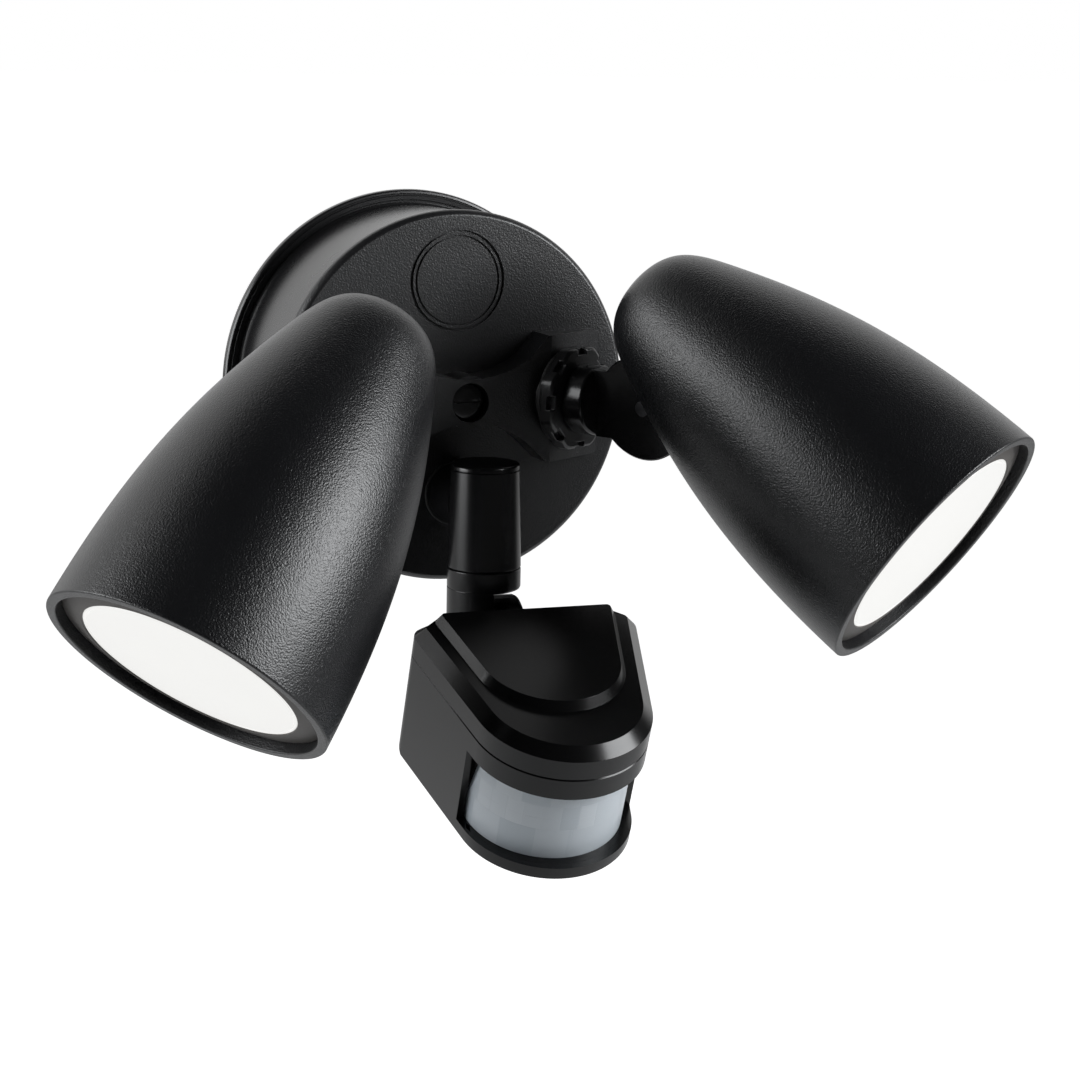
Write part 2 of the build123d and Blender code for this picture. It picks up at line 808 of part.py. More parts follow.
def make_sensor_knuckle():
    top = -barrel_bottom - gap
    reach = 2 * barrel_radius
    body = post(barrel_radius, -knuckle_disc_bottom, top)
    low = -pivot_drop - barrel_radius - past
    tongue = post(barrel_radius, low, -knuckle_disc_bottom + lap)
    keep = block(-reach, reach, -reach, reach, -pivot_drop, top)
    keep += cross_bar(barrel_radius, -reach, reach, 0, -pivot_drop)
    tongue = tongue & keep
    body += tongue - block(-gap / 2, reach, -reach, reach, low - past, -knuckle_disc_bottom)
    body += post(spigot_radius, top - lap, clip_top + past)
    body -= ring_z(spigot_radius + past, spigot_radius - clip_groove, clip_bottom, clip_top)
    body -= post(spigot_bore_radius, -knuckle_disc_bottom + spigot_bore_floor, clip_top + 2 * past)
    body -= cross_bar(sensor_screw_radius, -reach, reach, 0, -pivot_drop)
    return body - cross_bar(sensor_screw_head_radius + lens_fit, -reach, sensor_screw_seat, 0, -pivot_drop)


def make_swivel_clip():
    clip = ring_z(clip_radius, spigot_radius - clip_groove, clip_bottom, clip_top)
    return clip - block(-clip_mouth / 2, clip_mouth / 2, -2 * clip_radius, 0,
                        clip_bottom - past, clip_top + past)


def make_sensor_screw():
    face = sensor_screw_seat - sensor_screw_head_depth
    depth, length, width = sensor_screw_slot
    screw = cross_bar(sensor_screw_radius, sensor_screw_seat, lug_radius - gap, 0, -pivot_drop)
    screw += cross_bar(sensor_screw_head_radius, face, sensor_screw_seat, 0, -pivot_drop)
    return screw - block(face - past, face + depth, -length / 2, length / 2,
                         -pivot_drop - width / 2, -pivot_drop + width / 2)


# ---- sensor head, drawn level with the tilt pivot at the origin --------------------

def head_outline(inset, nose=head_nose_radius, half=head_half_width, front=head_front, corner=head_corner):
    # flat back, sides drawing in to a round nose
    nose_y = -(front - nose)
    radius = nose - inset
    px, py = half - inset, -head_side_back
    dx, dy = -px, nose_y - py
    reach = hypot(dx, dy)
    heading = atan2(dy, dx) + asin(radius / reach)
    run = sqrt(reach * reach - radius * radius)
    tx, ty = px + run * cos(heading), py + run * sin(heading)
    # the rear corners carry each side's line on to the back
    by = -head_back - inset
    bx = px + (by - py) / tan(heading)
    side_r = Polyline((0, by), (bx, by), (tx, ty))
    arc = ThreePointArc((tx, ty), (0, nose_y - radius), (-tx, ty))
    side_l = Polyline((-tx, ty), (-bx, by), (0, by))
    face = make_face([side_r, arc, side_l])
    rounding = max(corner - inset, lap)
    return Pos(head_shift, 0, 0) * fillet(face.vertices().group_by(Axis.Y)[-1], rounding)


def level(face, bottom, top):
    return Pos(0, 0, bottom) * extrude(face, top - bottom)


def in_head(x, radius, bottom, top, depth):
    # a round post in the head, measured from its middle and from the pivot
    return post(radius, bottom, top, head_shift + x, -depth)


def lens_cylinder(radius, bottom, top):
    return in_head(0, radius, bottom, top, lens_middle)


def front_of(depth, bottom, top):
    # everything in front of a plane across the head
    reach = head_front + head_half_width
    return block(-reach, reach, -reach, -depth, bottom, top)


def behind(depth, bottom, top):
    reach = head_front + head_half_width
    return block(-reach, reach, -depth, 0, bottom, top)


def heel_cut():
    # the bevel across the rear bottom corner
    corner = Polygon((0, 0), (-heel_height, 0), (0, -heel_depth), align=None)
    return Pos(0, -head_back, head_bottom) * Rot(0, 90, 0) * extrude(corner, head_front, both=True)


def lens_ledges():
    inner = head_outline(head_wall - fit_gap)
    ledges = level(inner, window_top, window_top + ledge_depth)
    ledges += level(inner, window_bottom - ledge_depth, window_bottom)
    ledges -= lens_cylinder(lens_radius - ledge_width, head_bottom, seam_height)
    ledges -= behind(window_start - ledge_end, head_bottom, seam_height)
    return ledges - lens_cylinder(lens_radius + lens_fit_side, window_bottom - lens_grip,
                                  window_top + lens_grip)


def pivot_lug():
    lug = cross_bar(lug_radius, gap / 2, lug_radius)
    lug = chamfer(lug.faces().sort_by(Axis.X)[-1].edges(), lug_bevel)
    half = lug_neck_height / 2
    lug += block(gap / 2, lug_radius - past, -head_back - lap, 0, -half, half)
    lug -= cross_bar(sensor_screw_radius + fit_gap, -lug_radius, 2 * lug_radius)
    pocket = Pos(lug_radius + past, 0, 0) * Rot(0, 90, 0) * extrude(
        RegularPolygon(sensor_nut_radius + sensor_nut_fit, 6), -sensor_nut_depth - past)
    return lug - pocket


def make_sensor_body():
    floor = head_bottom + head_wall
    body = level(head_outline(0), head_bottom, seam_height) - heel_cut()
    inner_heel = Pos(0, -head_wall, head_wall) * heel_cut()
    body -= level(head_outline(head_wall), floor, seam_height + past) - inner_heel
    # the lens stands back behind an open window across the nose
    body -= front_of(window_start, window_bottom, window_top)
    body += lens_ledges()
    for x in (-case_boss_side, case_boss_side):
        body += in_head(x, case_boss_radius, floor - lap, seam_height, case_boss_back) - inner_heel
        body -= in_head(x, case_screw_radius + gap, head_bottom - past, seam_height + past, case_boss_back)
        body -= in_head(x, case_screw_recess, head_bottom - past, head_bottom + case_screw_floor,
                        case_boss_back)
    for x in (-board_peg_side, board_peg_side):
        body += bar(board_peg_radius, head_back + head_wall - lap, board_back, head_shift + x,
                    board_peg_level)
    for i in (-1, 0, 1):
        body -= in_head(i * dial_pitch, dial_radius + gap, head_bottom - past, floor + past, dial_line)
    return body + pivot_lug()


def hood_outline(inset):
    return head_outline(inset, nose=hood_nose_radius + hood_bevel, half=hood_half_width + hood_bevel,
                        front=hood_front + hood_bevel, corner=hood_corner)


def make_top_cover():
    side_top = seam_height + cover_side
    plate_top = side_top + cover_bevel
    shell = level(head_outline(0), seam_height, side_top)
    shell += loft([Pos(0, 0, side_top) * head_outline(0), Pos(0, 0, plate_top) * head_outline(cover_bevel)])
    shell += loft([Pos(0, 0, plate_top) * hood_outline(0),
                   Pos(0, 0, plate_top + hood_rise) * hood_outline(hood_bevel)])
    shell -= level(head_outline(head_wall), seam_height - past, side_top - cover_ceiling)
    for x in (-case_boss_side, case_boss_side):
        shell += in_head(x, case_boss_radius, seam_height, side_top, case_boss_back)
        shell -= in_head(x, case_screw_radius, seam_height - past, side_top, case_boss_back)
    return shell


def make_lens():
    top, bottom = window_top + lens_grip, window_bottom - lens_grip
    lens = lens_cylinder(lens_radius, bottom, top)
    lens -= lens_cylinder(lens_radius - lens_wall, bottom - past, top + past)
    return lens - behind(window_start - lens_lap, bottom - past, top + past)


def make_sensor_board():
    return block(head_shift - board_half_width, head_shift + board_half_width,
                 -board_back - board_depth, -board_back, board_bottom, board_top)


def make_pyro_sensor():
    back = board_back + board_depth
    front = back + pyro_height
    can = bar(pyro_radius, back, front, head_shift, pyro_level)
    can += bar(pyro_radius + pyro_flange, back, back + pyro_flange_depth, head_shift, pyro_level)
    return can - slot_at(pyro_window, front, head_shift, pyro_level)


def make_dial_board():
    board = block(head_shift - board_half_width, head_shift + board_half_width, -dial_board_front,
                  -dial_board_back, dial_board_level, dial_board_level + dial_board_depth)
    half = dial_foot_width / 2
    y = -dial_board_front + dial_foot_set_in
    for side in (-1, 1):
        x = head_shift + side * dial_foot_side
        board += block(x - half, x + half, y - half, y + half, head_bottom + head_wall,
                       dial_board_level + lap)
    return board


def make_dial_pots():
    pots = []
    half = pot_size / 2
    low = dial_board_level - pot_depth
    for i in (-1, 0, 1):
        x = head_shift + i * dial_pitch
        pot = block(x - half, x + half, -dial_line - half, -dial_line + half, low, dial_board_level)
        pots.append(pot - in_head(i * dial_pitch, dial_stem_radius + fit_gap, low - past,
                                  dial_board_level + past, dial_line))
    return pots


def make_dial(i):
    x = head_shift + i * dial_pitch
    low = head_bottom - dial_proud
    top = low + dial_cap_depth
    dial = post(dial_radius, low, top, x, -dial_line)
    dial += post(dial_stem_radius, top - lap, dial_board_level - dial_stem_short, x, -dial_line)
    half, reach = dial_slot / 2, dial_slot_length / 2
    return dial - block(x - half, x + half, -dial_line - reach, -dial_line + reach,
                        low - past, low + dial_slot_depth)


def make_case_screws():
    screws = []
    seat = head_bottom + case_screw_floor
    top = seam_height + cover_side - past
    for x in (-case_boss_side, case_boss_side):
        screw = in_head(x, case_screw_radius, seat, top, case_boss_back)
        screws.append(screw + in_head(x, case_screw_head_radius, seat - case_screw_head_depth, seat,
                                      case_boss_back))
    return screws


def make_sensor_nut():
    nut = Pos(lug_radius, 0, 0) * Rot(0, 90, 0) * extrude(
        RegularPolygon(sensor_nut_radius, 6), -sensor_nut_depth)
    return nut - cross_bar(sensor_screw_radius + fit_gap, 0, 2 * lug_radius)


# ---- every piece in its place -------------------------------------------------------

save("wall_gasket", make_wall_gasket())
save("mount_box", make_mount_box())
save("terminal_block", make_terminal_block())
save("terminal_screws", make_terminal_screws())
save("earth_terminal", make_earth_terminal())
save("control_board", make_control_board())
save("board_components", make_board_components())
save("board_screws", make_board_screws())
save("supply_wires", make_supply_wires())
save("cover_gasket", make_cover_gasket())
save("cover_plate", make_cover_plate())
save("cover_screw", make_cover_screw())
save("screw_cap", make_screw_cap())
save("elbow_seal", make_elbow_seal())
save("elbow_nut", make_elbow_nut())
save("sensor_elbow", make_elbow())
save("elbow_cap", make_elbow_cap())

for side, word in ((-1, "left"), (1, "right")):
    save(word + "_arm_washer", arm_place(side) * handed(make_washer(), side))
    save(word + "_locknut", arm_place(side) * handed(make_locknut(), side))
    save(word + "_arm", swivel_place(side) * handed(make_arm(), side))
    save(word + "_arm_retainer", swivel_place(side) * handed(make_arm_retainer(), side))
    lamp_pieces = {
        "lamp_housing": make_lamp_housing(),
        "bezel": make_bezel(),
        "diffuser": make_diffuser(),
        "lamp_seal": make_lamp_seal(),
        "reflector": make_reflector(),
        "led_board": make_led_board(),
        "heat_sink": make_heat_sink(),
        "lamp_driver": make_driver(),
        "pivot_bolt": make_pivot_bolt(),
    }
    for name, shape in lamp_pieces.items():
        save(word + "_" + name, lamp_place(side) * handed(shape, side))
    chips = [lamp_place(side) * handed(chip, side) for chip in make_led_chips()]
    save(word + "_led_chips", chips)

save("sensor_knuckle", turn_place * make_sensor_knuckle())
save("swivel_clip", turn_place * make_swivel_clip())
save("sensor_pivot_screw", turn_place * make_sensor_screw())
save("sensor_body", head_place * make_sensor_body())
save("sensor_top_cover", head_place * make_top_cover())
save("sensor_lens", head_place * make_lens())
save("sensor_board", head_place * make_sensor_board())
save("pyro_sensor", head_place * make_pyro_sensor())
save("dial_board", head_place * make_dial_board())
save("dial_pots", [head_place * pot for pot in make_dial_pots()])
save("sensor_case_screws", [head_place * screw for screw in make_case_screws()])
save("sensor_pivot_nut", head_place * make_sensor_nut())
for i, word in ((-1, "time"), (0, "light_level"), (1, "range")):
    save(word + "_dial", head_place * make_dial(i))
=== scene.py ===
import json
from math import acos, asin, atan2, cos, hypot, pi, radians, sin, sqrt, tan

import bpy
from mathutils import Matrix, Vector


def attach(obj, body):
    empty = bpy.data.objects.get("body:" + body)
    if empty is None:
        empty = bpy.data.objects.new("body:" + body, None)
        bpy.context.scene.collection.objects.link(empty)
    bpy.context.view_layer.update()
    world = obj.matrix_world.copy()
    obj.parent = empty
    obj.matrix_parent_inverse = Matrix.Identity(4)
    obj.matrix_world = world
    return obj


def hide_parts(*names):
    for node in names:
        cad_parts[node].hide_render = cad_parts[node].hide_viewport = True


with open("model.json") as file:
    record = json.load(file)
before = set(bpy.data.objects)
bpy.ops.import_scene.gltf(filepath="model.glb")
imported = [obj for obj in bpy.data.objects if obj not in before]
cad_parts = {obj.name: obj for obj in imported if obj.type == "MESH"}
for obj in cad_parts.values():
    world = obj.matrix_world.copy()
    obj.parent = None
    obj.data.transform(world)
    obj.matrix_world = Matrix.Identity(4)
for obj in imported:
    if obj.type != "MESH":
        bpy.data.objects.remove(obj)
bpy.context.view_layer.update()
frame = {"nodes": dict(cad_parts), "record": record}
slotOf = {part["node"]: part["material_slot"] for part in frame["record"]["subparts"]}
print("frame loaded")

# camera, at the photograph's place
camera = {
    "place": (-0.31547, -0.78532, 0.11953),
    "right": (0.9067, -0.4213, 0.0207),
    "up": (0.0669, 0.1922, 0.9791),
    "back": (-0.4164, -0.8863, 0.2024),
    "lens": 83.917,
    "sensor": 36.0,
}
cameraData = bpy.data.cameras.new("camera")
cameraData.lens = camera["lens"]
cameraData.sensor_width = camera["sensor"]
cameraData.clip_start = 0.02
cameraObject = bpy.data.objects.new("camera", cameraData)
cameraAxes = Matrix((camera["right"], camera["up"], camera["back"])).transposed().to_4x4()
cameraObject.matrix_world = Matrix.Translation(camera["place"]) @ cameraAxes
bpy.context.scene.collection.objects.link(cameraObject)
bpy.context.scene.camera = cameraObject
print("camera set")


# materials

def groupSocket(group, name, way, kind="NodeSocketFloat", value=None):
    socket = group.interface.new_socket(name=name, in_out=way, socket_type=kind)
    if value is not None:
        socket.default_value = value
    return socket


def linked(tree, kind, inputs=None, **settings):
    # a node with its settings, and its inputs given as numbers or as other nodes' outputs
    node = tree.nodes.new(kind)
    for key, value in settings.items():
        setattr(node, key, value)
    for key, value in (inputs or {}).items():
        if isinstance(value, bpy.types.NodeSocket):
            tree.links.new(value, node.inputs[key])
        else:
            node.inputs[key].default_value = value
    return node


def maths(tree, operation, *values):
    # a maths node's result
    return linked(tree, "ShaderNodeMath", dict(enumerate(values)), operation=operation).outputs[0]


grainValues = {"detail": 1.5, "roughness": 0.55, "finer": 1.2, "cellDepth": -0.35}
mottleValues = {"size": 38.0, "detail": 4.0, "shade": 0.5}


def makeGrainGroup():
    # moulded or coated grain: small pebbles with a finer wrinkle on them
    group = bpy.data.node_groups.new("surfaceGrain", "ShaderNodeTree")
    groupSocket(group, "Place", "INPUT", "NodeSocketVector")
    groupSocket(group, "Grains per metre", "INPUT", value=1500.0)
    groupSocket(group, "Wrinkle", "INPUT", value=0.5)
    groupSocket(group, "Height", "OUTPUT")
    start = group.nodes.new("NodeGroupInput")
    end = group.nodes.new("NodeGroupOutput")
    pebble = linked(group, "ShaderNodeTexNoise", {
        "Vector": start.outputs["Place"], "Scale": start.outputs["Grains per metre"],
        "Detail": grainValues["detail"], "Roughness": grainValues["roughness"],
        "Distortion": start.outputs["Wrinkle"]})
    finer = maths(group, "MULTIPLY", start.outputs["Grains per metre"], grainValues["finer"])
    cells = linked(group, "ShaderNodeTexVoronoi", {"Vector": start.outputs["Place"], "Scale": finer,
                   "Randomness": 1.0}, feature="SMOOTH_F1")
    both = maths(group, "MULTIPLY_ADD", cells.outputs["Distance"], grainValues["cellDepth"],
                 pebble.outputs["Fac"])
    group.links.new(both, end.inputs["Height"])
    return group


def makeMottleGroup():
    # slow changes of gloss and shade from handling and moulding
    group = bpy.data.node_groups.new("surfaceMottle", "ShaderNodeTree")
    groupSocket(group, "Place", "INPUT", "NodeSocketVector")
    groupSocket(group, "Gloss", "INPUT", value=0.4)
    groupSocket(group, "Change", "INPUT", value=0.05)
    groupSocket(group, "Colour", "INPUT", "NodeSocketColor", (0.02, 0.02, 0.02, 1))
    groupSocket(group, "Roughness", "OUTPUT")
    groupSocket(group, "Colour", "OUTPUT", "NodeSocketColor")
    start = group.nodes.new("NodeGroupInput")
    end = group.nodes.new("NodeGroupOutput")
    cloud = linked(group, "ShaderNodeTexNoise", {"Vector": start.outputs["Place"],
                   "Scale": mottleValues["size"], "Detail": mottleValues["detail"]})
    centred = maths(group, "ADD", cloud.outputs["Fac"], -0.5)
    rough = maths(group, "MULTIPLY_ADD", centred, start.outputs["Change"], start.outputs["Gloss"])
    shade = maths(group, "MULTIPLY_ADD", centred, mottleValues["shade"], 1.0)
    tint = linked(group, "ShaderNodeVectorMath", {0: start.outputs["Colour"]}, operation="SCALE")
    group.links.new(shade, tint.inputs["Scale"])
    group.links.new(rough, end.inputs["Roughness"])
    group.links.new(tint.outputs[0], end.inputs["Colour"])
    return group


grainGroup = makeGrainGroup()
mottleGroup = makeMottleGroup()


def newMaterial(name):
    material = bpy.data.materials.new(name)
    material.use_nodes = True
    tree = material.node_tree
    return material, tree, tree.nodes["Principled BSDF"]


def finish(name, colour, gloss, change=0.05, grains=0.0, wrinkle=0.5, bump=0.0, height=0.0001,
           metal=0.0, ior=1.5, coat=0.0, coatGloss=0.1, scatter=0.0, glow=None, glowPower=0.0):
    # a named finish: roughness as gloss, mottled by change, and a grain where there is one
    material, tree, shader = newMaterial(name)
    place = linked(tree, "ShaderNodeTexCoord").outputs["Object"]
    mottle = linked(tree, "ShaderNodeGroup", node_tree=mottleGroup)
    tree.links.new(place, mottle.inputs["Place"])
    mottle.inputs["Gloss"].default_value = gloss
    mottle.inputs["Change"].default_value = change
    mottle.inputs["Colour"].default_value = (*colour, 1)
    tree.links.new(mottle.outputs["Colour"], shader.inputs["Base Color"])
    tree.links.new(mottle.outputs["Roughness"], shader.inputs["Roughness"])
    if bump > 0:
        grain = linked(tree, "ShaderNodeGroup", node_tree=grainGroup)
        tree.links.new(place, grain.inputs["Place"])
        grain.inputs["Grains per metre"].default_value = grains
        grain.inputs["Wrinkle"].default_value = wrinkle
        relief = linked(tree, "ShaderNodeBump", {"Strength": bump, "Distance": height,
                        "Height": grain.outputs["Height"]})
        tree.links.new(relief.outputs["Normal"], shader.inputs["Normal"])
    shader.inputs["Metallic"].default_value = metal
    shader.inputs["IOR"].default_value = ior
    shader.inputs["Coat Weight"].default_value = coat
    shader.inputs["Coat Roughness"].default_value = coatGloss
    if scatter > 0:
        shader.inputs["Subsurface Weight"].default_value = scatter
        shader.inputs["Subsurface Radius"].default_value = (0.002, 0.002, 0.002)
    if glow:
        shader.inputs["Emission Color"].default_value = (*glow, 1)
        shader.inputs["Emission Strength"].default_value = glowPower
    return material


def makeLensMaterial(values):
    # milky window with rows and columns of small lenses; each row has its lower and upper edge in
    # millimetres, its columns in half a turn and their shift
    material, tree, shader = newMaterial("segmentedLens")
    place = linked(tree, "ShaderNodeTexCoord").outputs["Object"]
    head = linked(tree, "ShaderNodeMapping", {"Vector": place}, vector_type="TEXTURE")
    middle = Matrix.Scale(0.001, 4) @ headPlace @ Matrix.Translation((values["x"], values["y"], 0))
    head.inputs["Location"].default_value = middle.to_translation()
    head.inputs["Rotation"].default_value = headPlace.to_euler("XYZ")
    split = linked(tree, "ShaderNodeSeparateXYZ", {0: head.outputs[0]})
    upwards = split.outputs["Z"]
    around = maths(tree, "ARCTAN2", split.outputs["X"], split.outputs["Y"])
    lines, tint = [], []
    for low, high, columns, shift in values["rows"]:
        above = maths(tree, "GREATER_THAN", upwards, low / 1000)
        under = maths(tree, "LESS_THAN", upwards, high / 1000)
        inRow = maths(tree, "MULTIPLY", above, under)
        column = maths(tree, "MULTIPLY_ADD", around, columns / pi, shift)
        fromMiddle = maths(tree, "SUBTRACT", maths(tree, "FRACT", column), 0.5)
        away = maths(tree, "ABSOLUTE", fromMiddle)
        edge = maths(tree, "GREATER_THAN", away, 0.5 - values["seam"] * columns)
        lines.append(maths(tree, "MULTIPLY", edge, inRow))
        salted = maths(tree, "ADD", maths(tree, "FLOOR", column), values["salt"] * columns)
        chance = linked(tree, "ShaderNodeTexWhiteNoise", {"W": salted}, noise_dimensions="1D")
        tint.append(maths(tree, "MULTIPLY", chance.outputs["Value"], inRow))
        lines.append(maths(tree, "COMPARE", upwards, low / 1000, values["rowLine"]))

    def total(sockets):
        result = sockets[0]
        for socket in sockets[1:]:
            result = maths(tree, "ADD", result, socket)
        return result

    mix = linked(tree, "ShaderNodeMix", {0: total(tint), 6: (*values["dim"], 1), 7: (*values["clear"], 1)},
                 data_type="RGBA")
    tree.links.new(mix.outputs[2], shader.inputs["Base Color"])
    ridges = linked(tree, "ShaderNodeTexWave", {"Vector": head.outputs[0], "Scale": values["ridges"],
                    "Distortion": 0.0}, wave_type="BANDS", bands_direction="Z")
    low = maths(tree, "MULTIPLY", ridges.outputs["Fac"], values["ridgeHeight"])
    height = maths(tree, "MULTIPLY_ADD", total(lines), -1.0, low)
    relief = linked(tree, "ShaderNodeBump", {"Strength": values["bump"], "Distance": values["bumpHeight"],
                    "Height": height})
    tree.links.new(relief.outputs["Normal"], shader.inputs["Normal"])
    shader.inputs["Roughness"].default_value = values["gloss"]
    shader.inputs["Subsurface Weight"].default_value = values["scatter"]
    shader.inputs["Subsurface Radius"].default_value = (values["scatterReach"],) * 3
    shader.inputs["Transmission Weight"].default_value = values["through"]
    shader.inputs["IOR"].default_value = 1.5
    return material


# where the moving bodies are, in millimetres
places = {
    "armX": 50.397, "armY": -84.198, "splay": 28.0,
    "swivel": {1: 8.4, -1: 26.9}, "tilt": {1: 34.8, -1: 56.5},
    "barrelY": -72.5, "sensorTurn": -6.5, "pivotZ": -71.5, "nod": 22.3,
}


def turn(degreesTurned, axis):
    return Matrix.Rotation(radians(degreesTurned), 4, axis)


def armPlace(side):
    return Matrix.Translation((side * places["armX"], places["armY"], 0)) @ turn(side * places["splay"], "Z")


def swivelPlace(side):
    return armPlace(side) @ turn(-side * places["swivel"][side], "Y")


def lampPlace(side):
    return swivelPlace(side) @ turn(places["tilt"][side], "X")


turnPlace = Matrix.Translation((0, places["barrelY"], 0)) @ turn(places["sensorTurn"], "Z")
headPlace = turnPlace @ Matrix.Translation((0, 0, places["pivotZ"])) @ turn(places["nod"], "X")

# finishes
lampCoat = finish("powderCoatedLamp", (0.0040, 0.0042, 0.0050), 0.33, 0.04, 1850, 0.2, 0.9, 0.00016)
lipCoat = finish("powderCoatedLip", (0.045, 0.044, 0.044), 0.48, 0.06, 1500, 0.4, 0.5, 0.00015)
grainedCover = finish("grainedCover", (0.0055, 0.0055, 0.0062), 0.37, 0.05, 1700, 0.2, 0.7, 0.00012, ior=1.55)
# painted highlight: a lighter colour on the cover's bevel faces, standing in for the light the edges catch
paintedEdgeHighlight = finish("coverEdgesPaintedHighlight", (0.10, 0.10, 0.105), 0.38, 0.05, 1700, 0.2, 0.5, 0.0001)
# painted sheen: the seats are the cover's grained plastic, coloured several times lighter to stand in for the
# light they reflect
paintedSheenSeat = finish("grainedSeatPaintedSheen", (0.036, 0.036, 0.038), 0.40, 0.05, 1700, 0.2, 0.9, 0.00018, ior=1.68)
coverBand = finish("smoothCoverBand", (0.003, 0.003, 0.0035), 0.25, 0.05, 1500, 0.3, 0.1, 0.00003)
glossBox = finish("glossWallBox", (0.008, 0.008, 0.0085), 0.27, 0.04, 900, 0.3, 0.06, 0.00003,
                  coat=0.2, coatGloss=0.22)
flangeFinish = finish("grainedFlange", (0.010, 0.010, 0.0105), 0.4, 0.05, 1700, 0.3, 0.5, 0.0001)
glossSmall = finish("glossBlackFitting", (0.003, 0.003, 0.0034), 0.2, 0.05, 1200, 0.3, 0.08, 0.00003,
                    coat=0.4)
nutFinish = finish("grainedNut", (0.006, 0.006, 0.0065), 0.33, 0.05, 1800, 0.3, 0.5, 0.0001)
barrelFinish = finish("semiGlossBarrel", (0.003, 0.003, 0.0034), 0.25, 0.05, 1600, 0.3, 0.1, 0.00003)
satinBlack = finish("satinBlack", (0.003, 0.003, 0.0032), 0.21, 0.04, 1600, 0.3, 0.15, 0.00003, ior=1.4)
satinGrain = finish("satinGrainedRim", (0.0035, 0.0035, 0.0038), 0.27, 0.05, 1900, 0.2, 0.5, 0.00008, ior=1.4)
# painted sheen: the case's side faces are the same satin plastic, coloured lighter grey to stand in for the
# light they reflect
paintedSheenSidePanel = finish("satinSidePanelPaintedSheen", (0.042, 0.042, 0.044), 0.4, 0.05, 1800, 0.3, 0.2, 0.00004)
blackRubber = finish("blackRubber", (0.010, 0.010, 0.010), 0.7, 0.08, 1300, 0.5, 0.3, 0.0001)
boltFinish = finish("blackenedBolt", (0.03, 0.03, 0.032), 0.38, 0.08, 1200, 0.3, 0.2, 0.00005, metal=0.6)
bezelFinish = finish("bezelRing", (0.052, 0.047, 0.043), 0.5, 0.06, 1700, 0.3, 0.5, 0.0001)
foamFinish = finish("closedCellFoam", (0.05, 0.05, 0.05), 0.9, 0.08, 1500, 0.2, 0.9, 0.0003)
steelFinish = finish("platedSteel", (0.56, 0.57, 0.58), 0.32, 0.12, 900, 0.2, 0.1, 0.00003, metal=1.0)
brassFinish = finish("terminalBrass", (0.70, 0.52, 0.25), 0.35, 0.12, 900, 0.2, 0.1, 0.00003, metal=1.0)
aluminiumFinish = finish("castAluminium", (0.62, 0.63, 0.64), 0.45, 0.12, 700, 0.4, 0.3, 0.0001, metal=1.0)
reflectorFinish = finish("brightReflector", (0.82, 0.83, 0.84), 0.15, 0.06, 500, 0.2, 0.05, 0.00003,
                         metal=1.0)
whiteBoard = finish("whiteSolderMask", (0.78, 0.79, 0.78), 0.4, 0.06, 700, 0.2, 0.08, 0.00003)
phosphor = finish("ledPhosphor", (0.85, 0.68, 0.16), 0.55, 0.05, 2500, 0.2, 0.3, 0.00005)
driverFinish = finish("driverCase", (0.035, 0.035, 0.037), 0.5, 0.06, 1300, 0.3, 0.25, 0.00008)
terminalFinish = finish("whiteTerminal", (0.72, 0.71, 0.67), 0.4, 0.06, 1100, 0.3, 0.1, 0.00004, scatter=0.2)
greenBoard = finish("greenSolderMask", (0.022, 0.13, 0.05), 0.35, 0.06, 600, 0.2, 0.1, 0.00003)
wireFinish = finish("wireSleeve", (0.28, 0.05, 0.04), 0.4, 0.05, 900, 0.2, 0.1, 0.00003)
dialFinish = finish("greyDial", (0.22, 0.22, 0.225), 0.42, 0.05, 1500, 0.3, 0.15, 0.00005)
diffuserFinish = finish("litDiffuser", (0.10, 0.10, 0.099), 0.4, 0.04, 900, 0.2, 0.05, 0.00002,
                        glow=(1.0, 0.995, 0.97), glowPower=0.74)
diffuserLine = finish("diffuserEdgeLine", (0.10, 0.10, 0.09), 0.4, 0.04, 900, 0.2, 0.05, 0.00002,
                      glow=(1.0, 0.97, 0.9), glowPower=0.08)
lensFinish = makeLensMaterial({
    "x": 5.8, "y": -57.0, "gloss": 0.3, "through": 0.1, "scatter": 0.4, "scatterReach": 0.003,
    "seam": 0.0015, "rowLine": 0.00018, "salt": 7.31,
    "ridges": 420.0, "ridgeHeight": 0.12, "bump": 0.6, "bumpHeight": 0.00012,
    "rows": [(-5.5, 2.9, 9, 0.2), (-10.0, -5.5, 14, 0.45), (-14.2, -10.0, 14, 0.45), (-26.1, -14.2, 7, 0.1)],
    "dim": (0.385, 0.425, 0.46), "clear": (0.47, 0.505, 0.535),
})

finishOfSlot = {
    "foam": foamFinish, "gloss_black_plastic": glossSmall, "grained_black_plastic": grainedCover,
    "satin_black_plastic": satinBlack, "black_lamp_coating": lampCoat, "bezel_plastic": bezelFinish,
    "frosted_diffuser": diffuserFinish, "black_rubber": blackRubber, "reflector_metal": reflectorFinish,
    "bare_aluminium": aluminiumFinish, "white_board": whiteBoard, "led_phosphor": phosphor,
    "driver_case": driverFinish, "screw_steel": steelFinish, "terminal_brass": brassFinish,
    "white_terminal_plastic": terminalFinish, "green_board": greenBoard, "wire_sleeve": wireFinish,
    "sensor_lens_plastic": lensFinish, "grey_dial_plastic": dialFinish,
}
for nodeName, node in frame["nodes"].items():
    node.data.materials.clear()
    node.data.materials.append(finishOfSlot[slotOf[nodeName]])
print("materials made")


# ways of modelling, in millimetres until a piece is finished
sameSpot = 0.0005

def letGo():
    bpy.ops.object.select_all(action="DESELECT")


def hold(piece):
    letGo()
    piece.select_set(True)
    bpy.context.view_layer.objects.active = piece


def startEdit():
    bpy.ops.object.mode_set(mode="EDIT")
    bpy.ops.mesh.select_all(action="SELECT")


def endEdit():
    bpy.ops.object.mode_set(mode="OBJECT")


